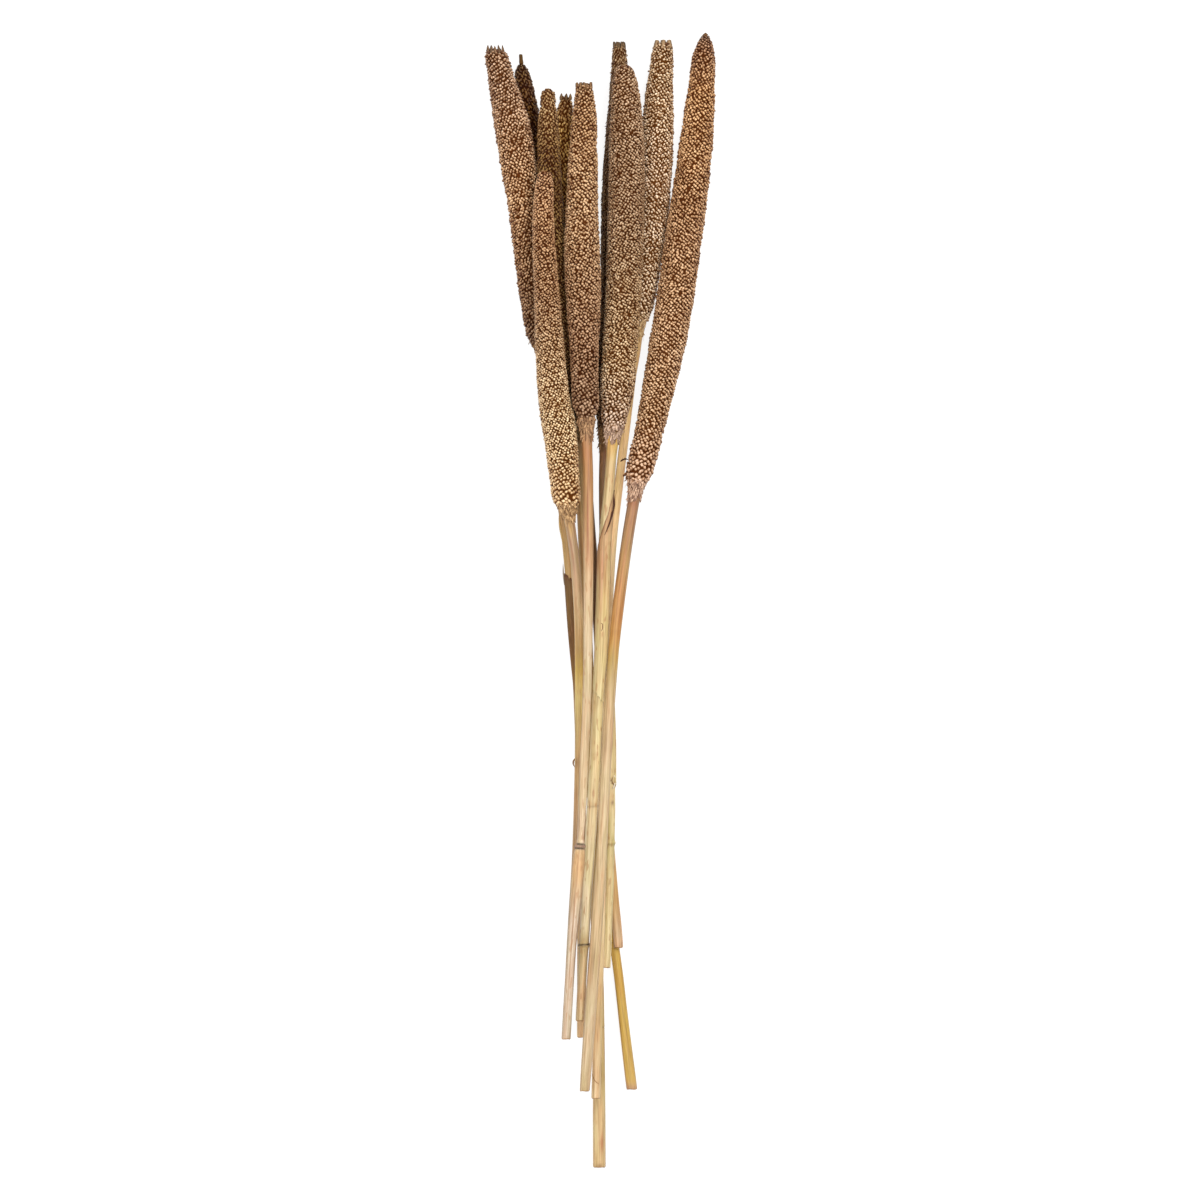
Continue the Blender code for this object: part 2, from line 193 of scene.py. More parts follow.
def makePatchGroup():
    # soft patches: noise in Object coordinates, spread round 1 by Strength
    group, given, out = newGroup(
        "softPatches",
        [("Scale", "NodeSocketFloat", 60.0), ("Strength", "NodeSocketFloat", 0.4)],
        [("Factor", "NodeSocketFloat")],
    )
    place = group.nodes.new("ShaderNodeTexCoord")
    noise = group.nodes.new("ShaderNodeTexNoise")
    noise.inputs["Detail"].default_value = 3.0
    noise.inputs["Roughness"].default_value = 0.6
    group.links.new(place.outputs["Object"], noise.inputs["Vector"])
    group.links.new(given.outputs["Scale"], noise.inputs["Scale"])
    spread = mathNode(group, "SUBTRACT", noise.outputs["Fac"], 0.5)
    spread = mathNode(group, "MULTIPLY", spread, given.outputs["Strength"])
    spread = mathNode(group, "MULTIPLY", spread, 2.0)
    group.links.new(mathNode(group, "ADD", spread, 1.0), out.inputs["Factor"])
    return group


def makeStreakGroup():
    # streaks along the straw: noises on the "fibre" attribute, each squeezed along its middle axis
    group, given, out = newGroup(
        "strawStreaks",
        [("Coarse", "NodeSocketFloat", 900.0), ("Fine", "NodeSocketFloat", 3200.0)],
        [(label, "NodeSocketFloat") for label in ("Streak", "Thread", "Blotch", "Fleck")],
    )
    fibre = group.nodes.new("ShaderNodeAttribute")
    fibre.attribute_name = "fibre"
    for label, squeeze, scale, detail in (
        ("Streak", (1.0, 0.035, 1.0), given.outputs["Coarse"], 3.0),
        ("Thread", (1.0, 0.012, 1.0), given.outputs["Fine"], 2.0),
        ("Blotch", (1.0, 0.15, 1.0), 240.0, 3.0),
        ("Fleck", (1.0, 0.22, 1.0), 620.0, 1.0),
    ):
        squash = group.nodes.new("ShaderNodeVectorMath")
        squash.operation = "MULTIPLY"
        squash.inputs[1].default_value = squeeze
        group.links.new(fibre.outputs["Vector"], squash.inputs[0])
        noise = group.nodes.new("ShaderNodeTexNoise")
        noise.inputs["Detail"].default_value = detail
        group.links.new(squash.outputs[0], noise.inputs["Vector"])
        if isinstance(scale, float):
            noise.inputs["Scale"].default_value = scale
        else:
            group.links.new(scale, noise.inputs["Scale"])
        group.links.new(noise.outputs["Fac"], out.inputs[label])
    return group


patchGroup = makePatchGroup()
streakGroup = makeStreakGroup()


def newMaterial(name, roughness, specular):
    material = bpy.data.materials.new(name)
    material.use_nodes = True
    shader = material.node_tree.nodes["Principled BSDF"]
    shader.inputs["Roughness"].default_value = roughness
    shader.inputs["Specular IOR Level"].default_value = specular
    return material, material.node_tree, shader


def groupNode(tree, group, **values):
    node = tree.nodes.new("ShaderNodeGroup")
    node.node_tree = group
    for label, value in values.items():
        node.inputs[label].default_value = value
    return node


def attributeOf(tree, name, socket="Fac"):
    node = tree.nodes.new("ShaderNodeAttribute")
    node.attribute_name = name
    return node.outputs[socket]


def rampOf(tree, factor, stops):
    ramp = tree.nodes.new("ShaderNodeValToRGB")
    band = ramp.color_ramp
    while len(band.elements) < len(stops):
        band.elements.new(0.5)
    for element, (place, rgb) in zip(band.elements, stops):
        element.position = place
        element.color = (*linear(rgb), 1.0)
    tree.links.new(factor, ramp.inputs["Fac"])
    return ramp.outputs["Color"]


def mixColours(tree, first, second, factor, blend="MIX"):
    mix = tree.nodes.new("ShaderNodeMix")
    mix.data_type = "RGBA"
    mix.blend_type = blend
    mix.clamp_factor = True
    for socket, value in ((mix.inputs[6], first), (mix.inputs[7], second), (mix.inputs[0], factor)):
        if isinstance(value, tuple):
            socket.default_value = (*linear(value), 1.0)
        elif isinstance(value, (int, float)):
            socket.default_value = value
        else:
            tree.links.new(value, socket)
    return mix.outputs[2]


# screen colours that are multiplied by the colour painted along a head, its "shade"; gain brings their
# middle back to 1.
# On the grains "deep" and "dark" are painted shade at their feet and "bright" is a painted highlight at
# their tips
grainTints = {
    "deep": (66, 41, 10), "dark": (84, 63, 31), "middle": (141, 139, 136), "bright": (200, 221, 255),
    "core": (66, 45, 18), "bare": (127, 125, 119), "gain": 4.1,
}


def grainMaterial(name):
    # painted shade between the grains and a painted highlight at their tips: a ramp on each grain's "rise",
    # moved by its own tone and by soft patches, times the colour painted along the head as its "shade"
    material, tree, shader = newMaterial(name, 0.52, 0.4)
    patches = groupNode(tree, patchGroup, Scale=55.0, Strength=0.26)
    tone = mathNode(tree, "SUBTRACT", attributeOf(tree, "tone"), 0.5)
    moved = mathNode(tree, "ADD", attributeOf(tree, "rise"), mathNode(tree, "MULTIPLY", tone, 0.38))
    moved = mathNode(tree, "MULTIPLY", moved, patches.outputs["Factor"])
    # the low stops are painted shade at a grain's foot and the top stop is a painted highlight at its tip
    stops = [(0.0, "deep"), (0.36, "dark"), (0.60, "middle"), (0.95, "bright")]
    colour = rampOf(tree, moved, [(place, grainTints[label]) for place, label in stops])
    colour = mixColours(tree, colour, attributeOf(tree, "shade", "Vector"), 1.0, "MULTIPLY")
    tree.links.new(colour, shader.inputs["Base Color"])
    return material


def coreMaterial(name):
    # the colour painted along the head, darkened to the core's own brown with painted shade between the
    # grains;
    # nearly that colour itself where the beak is bare
    material, tree, shader = newMaterial(name, 0.9, 0.1)
    patches = groupNode(tree, patchGroup, Scale=400.0, Strength=0.5)
    shade = attributeOf(tree, "shade", "Vector")
    # grainTints["core"] is the core's own brown plus painted shade in the gaps between the grains
    colour = mixColours(tree, shade, grainTints["core"], 1.0, "MULTIPLY")
    bare = mathNode(tree, "MULTIPLY", attributeOf(tree, "bare"), patches.outputs["Factor"])
    beak = mixColours(tree, shade, grainTints["bare"], 1.0, "MULTIPLY")
    colour = mixColours(tree, colour, beak, bare)
    tree.links.new(colour, shader.inputs["Base Color"])
    return material


def strawMaterial(name, gloss, flecks):
    # the painted tint, darkened by streaks along the stem, moved between greenish and pinkish by
    # narrow patches, with short brown flecks; the threads and streaks also make the bump
    material, tree, shader = newMaterial(name, gloss, 0.4)
    streaks = groupNode(tree, streakGroup)
    tint = attributeOf(tree, "tint", "Color")
    dust = [(0.30, (202, 188, 170)), (0.52, (246, 243, 238)), (0.72, (255, 255, 255))]
    colour = mixColours(tree, tint, rampOf(tree, streaks.outputs["Streak"], dust), 0.85, "MULTIPLY")
    threads = [(0.34, (206, 192, 176)), (0.5, (250, 248, 244)), (0.7, (255, 255, 255))]
    colour = mixColours(tree, colour, rampOf(tree, streaks.outputs["Thread"], threads), 0.7, "MULTIPLY")
    hues = [(0.32, (238, 240, 206)), (0.48, (255, 252, 244)), (0.68, (250, 214, 188))]
    colour = mixColours(tree, colour, rampOf(tree, streaks.outputs["Blotch"], hues), 0.5, "MULTIPLY")
    over = mathNode(tree, "SUBTRACT", streaks.outputs["Fleck"], 0.61)
    fleck = mathNode(tree, "MULTIPLY", over, 14.0, True)
    colour = mixColours(tree, colour, (166, 116, 74), mathNode(tree, "MULTIPLY", fleck, flecks))
    tree.links.new(colour, shader.inputs["Base Color"])
    rough = mathNode(tree, "MULTIPLY", streaks.outputs["Streak"], 0.35)
    tree.links.new(mathNode(tree, "ADD", rough, gloss - 0.16), shader.inputs["Roughness"])
    bump = tree.nodes.new("ShaderNodeBump")
    bump.inputs["Strength"].default_value = 0.5
    bump.inputs["Distance"].default_value = 0.00018
    height = mathNode(tree, "ADD", streaks.outputs["Thread"], streaks.outputs["Streak"])
    tree.links.new(height, bump.inputs["Height"])
    tree.links.new(bump.outputs["Normal"], shader.inputs["Normal"])
    return material


def fibreMaterial(name):
    # dry husks and bristles: the painted tint with a little change from one to the next
    material, tree, shader = newMaterial(name, 0.7, 0.3)
    patches = groupNode(tree, patchGroup, Scale=700.0, Strength=0.35)
    share = mathNode(tree, "SUBTRACT", 1.0, patches.outputs["Factor"])
    colour = mixColours(tree, attributeOf(tree, "tint", "Color"), (150, 110, 74), share)
    tree.links.new(colour, shader.inputs["Base Color"])
    return material


# Seed heads: a dark core, packed grains over it, and husks and bristles at the ends

# colours run along the head as (y in millimetres, red, green, blue); pitch is the grains' spacing in
# millimetres and "loose" how much wider it is at the neck; "tall" is a grain's height as a share of
# the usual one, "long" how much longer than wide it is, "swirl" how far its long way swings and
# "lean" how far it leans to the tip, both in radians, and "vivid" how far its colours differ, which sets
# how strong the painted shade at its foot and the painted highlight at its tip are
headStyles = {
    # head 1 is darker towards its neck: painted shade where its neighbours shade it
    1: {"colours": [(338, 158, 120, 86), (318, 158, 119, 84), (249, 176, 132, 88),
                    (200, 148, 107, 69), (157, 126, 92, 61)],
        "pitch": 1.95, "loose": 1.1, "tall": 0.9, "crown": "toothed",
        "long": 1.45, "swirl": 0.5, "lean": 0.85, "vivid": 1.0},
    2: {"colours": [(336, 96, 72, 44), (328, 99, 68, 32), (310, 96, 58, 11), (157, 83, 50, 11)],
        "pitch": 2.1, "loose": 1.1, "tall": 0.45, "crown": "beak",
        "long": 2.0, "swirl": 0.2, "lean": 0.4, "vivid": 0.4},
    # head 3 is darker below about 276 mm: painted shade where it lies under head 6
    3: {"colours": [(315, 147, 111, 69), (296, 146, 109, 65), (276, 117, 82, 37),
                    (107, 106, 75, 37)],
        "pitch": 1.8, "loose": 1.1, "tall": 0.6, "crown": "round",
        "long": 1.6, "swirl": 0.3, "lean": 0.5, "vivid": 0.6},
    4: {"colours": [(312, 176, 136, 88), (290, 189, 141, 72), (110, 164, 120, 62)],
        "pitch": 1.9, "loose": 1.1, "tall": 0.6, "crown": "tufted",
        "long": 1.9, "swirl": 0.2, "lean": 0.4, "vivid": 0.5},
    5: {"colours": [(318, 152, 113, 74), (300, 156, 114, 72), (240, 160, 120, 79),
                    (160, 136, 97, 63), (109, 126, 92, 62)],
        "pitch": 1.9, "loose": 1.15, "tall": 0.95, "crown": "scalloped",
        "long": 1.15, "swirl": 0.9, "lean": 0.55, "vivid": 1.0},
    6: {"colours": [(264, 152, 108, 69), (242, 154, 110, 69), (182, 146, 106, 68),
                    (111, 178, 143, 98), (56, 172, 133, 87)],
        "pitch": 1.7, "loose": 1.5, "tall": 0.95, "crown": "round",
        "long": 1.15, "swirl": 1.2, "lean": 0.5, "vivid": 1.0},
    7: {"colours": [(344, 138, 107, 72), (335, 140, 108, 71), (103, 118, 88, 54)],
        "pitch": 1.7, "loose": 1.1, "tall": 0.34, "crown": "scalloped",
        "long": 2.3, "swirl": 0.1, "lean": 0.3, "vivid": 0.3},
    8: {"colours": [(330, 154, 118, 82), (308, 155, 119, 83), (237, 145, 110, 75),
                    (148, 166, 131, 89), (104, 154, 122, 94)],
        "pitch": 1.8, "loose": 1.25, "tall": 0.9, "crown": "round",
        "long": 1.3, "swirl": 1.2, "lean": 0.6, "vivid": 0.9},
    9: {"colours": [(344, 172, 139, 101), (323, 180, 146, 106), (262, 185, 150, 113),
                    (172, 177, 144, 105)],
        "pitch": 1.85, "loose": 1.1, "tall": 0.9, "crown": "lobed",
        "long": 1.4, "swirl": 0.8, "lean": 0.7, "vivid": 0.9},
    10: {"colours": [(350, 122, 92, 66), (343, 142, 100, 66), (314, 167, 121, 74),
                     (225, 155, 113, 73), (117, 162, 122, 82), (71, 157, 117, 84)],
         "pitch": 1.9, "loose": 1.45, "tall": 0.9, "crown": "beak",
         "long": 1.3, "swirl": 1.0, "lean": 0.55, "vivid": 0.95},
}
grainShape = {
    "sides": 5,
    "height": 1.75 * mm,        # how far a grain stands out of the core
    "waist": 0.56,              # radius of its widest ring, as a share of the pitch
    "shoulder": 0.60,           # height of its upper ring, as a share of its height
    "leanSpread": 0.22,         # spread of how far they lean to the tip, in radians
    "uneven": 0.16,             # how much its length over its width changes from grain to grain
    "nearBeak": 5.0 * mm,       # where a beaked head is thinner than this, its grains are smaller
    "scatter": 0.14,            # how far it strays from its place, as a share of the pitch
    "waviness": 0.12,           # how far the spiral swings to and fro, as a share of the pitch
    "turn": tau * (1 - 2 / (1 + math.sqrt(5))),
    "missing": 0.014,           # share of the grains that have fallen out
    "swell": 0.10,              # spread of the grains' sizes
    "stray": 0.16 * mm,         # spread of how far they stand out
    "sideLean": 0.20,           # spread of how far they lean sideways, in radians
    "swing": 0.4,               # spread of their long way, in radians
    "tones": 0.26,              # spread of their tones
    "usualPitch": 2.1 * mm,     # a grain at this pitch has the full height
    "foot": -0.35,              # height of its lower point, as a share of its height
    "waistHeight": 0.12,
    "shoulderWidth": 0.80,      # as a share of its waist
    "neckLoose": 24 * mm,       # how far up the neck's wider spacing reaches
    "neckLength": 20 * mm,
    "seat": 0.6,                # how deep the spiral lies under the grains' tops, as a share of height
    "packing": 0.866,           # a grain's share of the surface is this times its spacing squared
    "beakReach": 1.8 * mm,      # a thinner tip than this carries no grains
    "roundTip": 2.6 * mm,       # how far from its top a round head starts to close
    "coreDepth": 1.45 * mm,
}


# how far each kind of tip closes, and how far its grains end below the top, in millimetres
crownShapes = {
    "beak": (0.0, 0.0), "round": (0.9, 0.0), "toothed": (0.5, 0.6), "tufted": (0.4, 2.3),
    "scalloped": (0.3, 0.7), "lobed": (0.2, 0.9),
}


def headProfile(number):
    # the head's outline from its neck out to its widest and in to its tip, as (y, reach), in even steps
    rings = ringsOf(f"head_{number}")
    y = np.linspace(rings[0, 0], rings[-1, 0], 240)
    reach = smoothLine(rings[:, 0], rings[:, 3], y)
    closing, drop = crownShapes[headStyles[number]["crown"]]
    nearTop = np.clip((y - rings[-1, 0]) / grainShape["roundTip"] + 1, 0, 1)
    reach = reach * np.sqrt(1 - closing * nearTop ** 2)
    y = y[0] + (y - y[0]) * (1 - drop * mm / (y[-1] - y[0]))
    y = np.concatenate(([y[0]], y, [y[-1]]))
    reach = np.concatenate(([0.35 * reach[0]], reach, [0.0]))
    length = np.concatenate(([0.0], np.cumsum(np.hypot(np.diff(y), np.diff(reach)))))
    even = np.linspace(0.0, length[-1], 900)
    return rings, even, np.interp(even, length, y), np.interp(even, length, reach)


def centreAt(rings, y):
    return smoothLine(rings[:, 0], rings[:, 1], y), smoothLine(rings[:, 0], rings[:, 2], y)


def surfaceFrame(rings, y, reach, slopeY, slopeReach, angle):
    # a point of the head at (y, angle), its outward normal and the direction towards the tip
    x, z = centreAt(rings, y)
    aheadX, aheadZ = centreAt(rings, y + 1 * mm)
    along = unit(np.stack([aheadX - x, np.full_like(y, 1 * mm), aheadZ - z], axis=-1))
    out = np.stack([np.cos(angle), np.zeros_like(y), np.sin(angle)], axis=-1)
    point = np.stack([x, y, z], axis=-1) + out * reach[:, None]
    normal = unit(out * slopeY[:, None] - along * slopeReach[:, None])
    towards = unit(along * slopeY[:, None] + out * slopeReach[:, None])
    return point, normal, towards


def placeGrains(number, random):
    # one spiral: each grain is a golden angle round from the last, and as far along as the surface
    # that each of them takes up allows; then all are scattered a little
    style = headStyles[number]
    rings, even, lineY, lineReach = headProfile(number)
    slopeY = np.gradient(lineY, even)
    slopeReach = np.gradient(lineReach, even)
    base = rings[0, 0]
    nearNeck = np.exp(-((lineY - base) / grainShape["neckLoose"]) ** 2)
    spacing = style["pitch"] * mm * (1 + (style["loose"] - 1) * nearNeck)
    beyondNeck = lineY > base + grainShape["neckLength"]
    if style["crown"] == "beak":
        shrink = np.clip(lineReach / grainShape["nearBeak"], 0.45, 1.0)
        spacing = np.where(beyondNeck, spacing * shrink, spacing)
    seat = np.maximum(lineReach - grainShape["seat"] * grainShape["height"], 0.3 * mm)
    bare = beyondNeck & (lineReach < grainShape["beakReach"])
    if style["crown"] != "beak":
        bare = bare & (slopeY > 0.6)
    density = np.where(bare, 0.0, tau * seat / (grainShape["packing"] * spacing ** 2))
    order = np.concatenate(([0.0], np.cumsum((density[1:] + density[:-1]) / 2 * np.diff(even))))
    index = np.arange(int(order[-1])) + 0.5
    index = index[random.random(len(index)) > grainShape["missing"]]
    at = np.interp(index, order, even)
    angle = index * grainShape["turn"] % tau
    pitch = np.interp(at, even, spacing)
    count = len(at)
    wave = grainShape["waviness"] * np.sin(3 * angle + at * 260 + number)
    at = np.clip(at + pitch * (random.normal(0, grainShape["scatter"], count) + wave), 0.0, even[-1])
    y = np.interp(at, even, lineY)
    reach = np.interp(at, even, lineReach)
    angle = angle + random.normal(0, grainShape["scatter"], count) * pitch / np.maximum(reach, 1 * mm)
    slopes = (np.interp(at, even, slopeY), np.interp(at, even, slopeReach))
    return y, angle, pitch, surfaceFrame(rings, y, reach, *slopes, angle)


def shadeAlong(number, y):
    # the head's painted colour at y, in linear light times the gain
    return coloursAlong(headStyles[number]["colours"], y) * grainTints["gain"]


def grainMesh(number):
    # each grain is a blunt drop: a ring at its waist, a smaller one at its shoulder, and a point at each end
    random = np.random.default_rng(100 + number)
    y, angle, pitch, (surface, normal, towards) = placeGrains(number, random)
    style = headStyles[number]
    count = len(y)
    swell = random.normal(1.0, grainShape["swell"], count)
    tall = style["tall"] * grainShape["height"] * pitch / grainShape["usualPitch"]
    tall = tall * random.normal(1.0, grainShape["swell"], count)
    wave = 0.35 * mm * np.sin(y * 190 + number) * np.sin(y * 71 + 2.0 * number)
    stray = random.normal(0, grainShape["stray"], count) + wave
    lean = style["lean"] + random.normal(0, grainShape["leanSpread"], count)
    side = random.normal(0, grainShape["sideLean"], count)
    across = np.cross(normal, towards)
    axis = unit(normal * np.cos(lean)[:, None] + towards * np.sin(lean)[:, None] + across * side[:, None])
    along = unit(np.cross(axis, across))
    aside = np.cross(axis, along)
    swing = style["swirl"] * np.sin(y * 95 + 1.7 * number + 1.5 * np.sin(2 * angle + y * 23))
    swing = (swing + random.normal(0, grainShape["swing"], count))[:, None]
    first = along * np.cos(swing) + aside * np.sin(swing)
    second = aside * np.cos(swing) - along * np.sin(swing)
    longer = math.sqrt(style["long"]) * np.clip(random.normal(1.0, grainShape["uneven"], count), 0.7, 1.4)
    longer = longer[:, None]
    foot = surface - axis * tall[:, None] + normal * np.minimum(stray, 0.1 * mm)[:, None]
    sides = grainShape["sides"]
    turn = tau * np.arange(sides) / sides + random.uniform(0, tau, count)[:, None]
    rim = first[:, None, :] * (np.cos(turn) * longer)[:, :, None]
    rim = rim + second[:, None, :] * (np.sin(turn) / longer)[:, :, None]
    waist = (grainShape["waist"] * pitch * swell)[:, None, None]
    heights = (grainShape["foot"], grainShape["waistHeight"], grainShape["shoulder"], 1.0)
    shares = (0.0, 1.0, grainShape["shoulderWidth"], 0.0)
    parts = []
    rises = []
    for height, share in zip(heights, shares):
        centre = foot + axis * (tall * height)[:, None]
        if share:
            parts.append(centre[:, None, :] + rim * waist * share)
            rises.append(np.full((count, sides), height))
        else:
            parts.append(centre[:, None, :])
            rises.append(np.full((count, 1), max(height, 0.0)))
    points = np.concatenate(parts, axis=1)
    # rise runs from 0 at a grain's foot to 1 at its tip; the grain material turns it into painted shade low
    # down and a painted highlight at the tip
    rise = 0.5 + (np.concatenate(rises, axis=1) - 0.5) * style["vivid"]
    each = points.shape[1]
    ring = np.arange(sides)
    low = 1 + ring
    high = 1 + sides + ring
    tip = 1 + 2 * sides
    triangles = np.concatenate([fanFaces(low, 0, True), fanFaces(high, tip)])
    quads = np.stack([low, np.roll(low, -1), np.roll(high, -1), high], axis=-1)
    offset = (np.arange(count) * each)[:, None, None]
    tone = np.repeat(np.clip(random.normal(0.5, grainShape["tones"], count), 0, 1), each)
    shade = np.repeat(shadeAlong(number, y), each, axis=0)
    makePiece(
        f"grains_{number}", points.reshape(-1, 3),
        [(triangles[None] + offset).reshape(-1, 3), (quads[None] + offset).reshape(-1, 4)],
        grainMaterial(f"grain {number}"), [f"head_{number}"],
        {"rise": rise.reshape(-1), "tone": tone, "shade": shade},
    )
    return count


coreShape = {"rows": 150, "sides": 20, "leastReach": 0.8 * mm}


def coreMesh(number):
    # the head's outline drawn in by the core's depth and turned round its centre line; the beak stays bare
    rings, even, lineY, lineReach = headProfile(number)
    pick = np.linspace(0, len(even) - 1, coreShape["rows"]).astype(int)
    y = lineY[pick]
    reach = lineReach[pick]
    thin = reach < grainShape["beakReach"]
    depth = grainShape["coreDepth"] * headStyles[number]["tall"]
    drawn = np.where(thin, reach, np.maximum(reach - depth, coreShape["leastReach"]))
    sides = coreShape["sides"]
    angle = tau * np.arange(sides) / sides
    x, z = centreAt(rings, y)
    grid = roundPoints(x[:, None], y[:, None], z[:, None], drawn[:, None], angle)
    poles = [[x[0], y[0], z[0]], [x[-1], y[-1], z[-1]]]
    points = np.concatenate([grid[1:-1].reshape(-1, 3), poles])
    bareRows = (thin[1:-1] & (y[1:-1] > rings[0, 0] + grainShape["neckLength"])).astype(float)
    bare = np.concatenate([np.repeat(bareRows, sides), [0.0, 1.0]])
    makePiece(
        f"core_{number}", points, tubeFaces(len(pick) - 2, sides), coreMaterial(f"core {number}"),
        [f"head_{number}"], {"bare": bare, "shade": shadeAlong(number, points[:, 1])},
    )


slimBlade = ((0.0, 0.7), (0.4, 1.0), (0.75, 0.6))
stubbyBlade = ((0.0, 0.9), (0.5, 1.0), (0.94, 0.84))


def bladeMesh(roots, directions, ups, lengths, widths, bend, tints, profile=slimBlade):
    # blades of three diamond rings, as (share of the length, of the width), and a tip, bent a little
    count = len(roots)
    across = unit(np.cross(directions, ups))
    ups = unit(np.cross(across, directions))
    parts = []
    for share, wide in profile:
        middle = roots + directions * (lengths * share)[:, None]
        middle = middle + ups * (bend * lengths * share ** 2)[:, None]
        for sideways, upward in ((1, 0), (0, 0.45), (-1, 0), (0, -0.45)):
            aside = across * (widths * wide * sideways)[:, None]
            parts.append(middle + aside + ups * (widths * wide * upward)[:, None])
    parts.append(roots + directions * lengths[:, None] + ups * (bend * lengths)[:, None])
    points = np.stack(parts, axis=1)
    ring = np.arange(4)
    nextOne = np.roll(ring, -1)
    band = np.stack([ring, nextOne, nextOne + 4, ring + 4], axis=-1)
    quads = np.concatenate([band, band + 4, [[3, 2, 1, 0]]])
    triangles = fanFaces(8 + ring, 12)
    offset = (np.arange(count) * 13)[:, None, None]
    faces = [(quads[None] + offset).reshape(-1, 4), (triangles[None] + offset).reshape(-1, 3)]
    return points.reshape(-1, 3), faces, np.repeat(tints, 13, axis=0)


def joinParts(parts):
    # several (points, faces, tint) sets as one
    points = []
    faces = []
    tints = []
    start = 0
    for somePoints, someFaces, someTints in parts:
        points.append(somePoints)
        faces += [face + start for face in someFaces]
        tints.append(someTints)
        start += len(somePoints)
    return np.concatenate(points), faces, np.concatenate(tints)


def tintsBetween(random, first, second, count):
    share = random.random(count)[:, None]
    colour = first * (1 - share) + second * share
    return np.concatenate([colour, np.ones((count, 1))], axis=1)


huskStyles = {
    "neckHusks": 300, "neckWidth": 0.7 * mm, "neckLength": 2.7 * mm, "neckOverlap": 4.0 * mm,
    "slimShare": 0.12, "slimLonger": 1.9, "slimNarrower": 0.4, "neckSunk": 0.25 * mm,
    "bristles": 240, "bristleLength": 2.9 * mm, "bristleWidth": 0.07 * mm, "crownDepth": 4.2 * mm,
}
# each crown has its number of teeth in a row, their half width in millimetres, how far over the top
# they end at most and at least, how wide their tips are set, and the share of the head's colour
crownStyles = {
    "scalloped": {"teeth": 5, "width": 0.85, "over": (0.6, -0.2), "wide": 0.94, "share": (0.4, 0.8),
                  "blade": stubbyBlade},
    "lobed": {"teeth": 3, "width": 1.6, "over": (1.3, 0.7), "wide": 0.8, "share": (0.7, 1.0),
              "blade": stubbyBlade},
    "toothed": {"teeth": 5, "width": 0.95, "over": (2.5, 1.2), "wide": 1.0, "share": (0.35, 0.65),
                "blade": slimBlade},
    "tufted": {"teeth": 3, "width": 1.15, "over": (0.8, -0.6), "wide": 1.2, "share": (0.4, 0.7),
               "blade": slimBlade},
}
# the darkest and palest colour of the husks at each neck, how long they reach down in millimetres,
# what part of them stands free, and how fast their cone narrows
huskTints = {
    1: ((128, 92, 58), (186, 144, 98), 8, 0.1, 2.2), 2: ((70, 44, 24), (112, 78, 48), 8, 0.1, 2.2),
    3: ((110, 84, 50), (160, 130, 84), 8, 0.1, 2.2), 4: ((96, 70, 40), (150, 116, 74), 8, 0.1, 2.2),
    5: ((112, 76, 50), (196, 154, 112), 9, 0.04, 2.0), 6: ((128, 92, 58), (218, 178, 128), 6, 0.04, 1.2),
    7: ((110, 78, 46), (170, 132, 86), 8, 0.1, 2.2), 8: ((130, 98, 80), (222, 190, 162), 6, 0.08, 2.2),
    9: ((150, 118, 82), (228, 194, 142), 8, 0.05, 2.2), 10: ((130, 94, 76), (218, 180, 150), 9, 0.05, 2.2),
}


def ringPoint(rings, y, reach, angle):
    x, z = centreAt(rings, y)
    return roundPoints(x, y, z, reach, angle)


def neckHusks(number, random, rings, lineY, lineReach):
    # husks overlap like shingles on a cone from the lowest grains down to the stem's skin: most are
    # short and blunt, a few long and thin, and some stand free
    low, high, longest, freeShare, narrowing = huskTints[number]
    stem = ringsOf(f"stem_{number}")
    count = huskStyles["neckHusks"]
    top = rings[0, 0] + huskStyles["neckOverlap"]
    span = longest * mm + huskStyles["neckOverlap"]
    wide = 0.86 * np.interp(top, lineY[2:-2], lineReach[2:-2])

    def coneReach(y):
        skin = np.interp(y, stem[:, 0], stem[:, 3])
        return skin + np.maximum(wide - skin, 0) * (1 - np.clip((top - y) / span, 0, 1)) ** narrowing

    angle = random.uniform(0, tau, count)
    y = top - span * random.random(count) ** 1.3
    slim = random.random(count) < huskStyles["slimShare"]
    size = huskStyles["neckLength"] * random.uniform(0.6, 1.4, count)
    size = size * np.where(slim, huskStyles["slimLonger"], 1.0)
    free = random.random(count) < freeShare
    footY = y - size
    footReach = coneReach(footY) + random.uniform(0.0, 0.55, count) * mm
    footReach = np.where(free, coneReach(y) + random.uniform(0.3, 1.4, count) * mm, footReach)
    sunk = coneReach(y) - huskStyles["neckSunk"]
    belowHead = (y < rings[0, 0])[:, None]
    root = np.where(belowHead, ringPoint(stem, y, sunk, angle), ringPoint(rings, y, sunk, angle))
    foot = ringPoint(stem, footY, footReach, angle + random.normal(0, 0.16, count))
    outward = np.stack([np.cos(angle), np.zeros(count), np.sin(angle)], axis=-1)
    length = np.linalg.norm(foot - root, axis=-1)
    width = huskStyles["neckWidth"] * random.uniform(0.6, 1.3, count)
    width = width * np.where(slim, huskStyles["slimNarrower"], 1.0)
    tints = tintsBetween(random, linear(low), linear(high), count)
    return bladeMesh(root, unit(foot - root), outward, length, width, 0.08, tints, stubbyBlade)


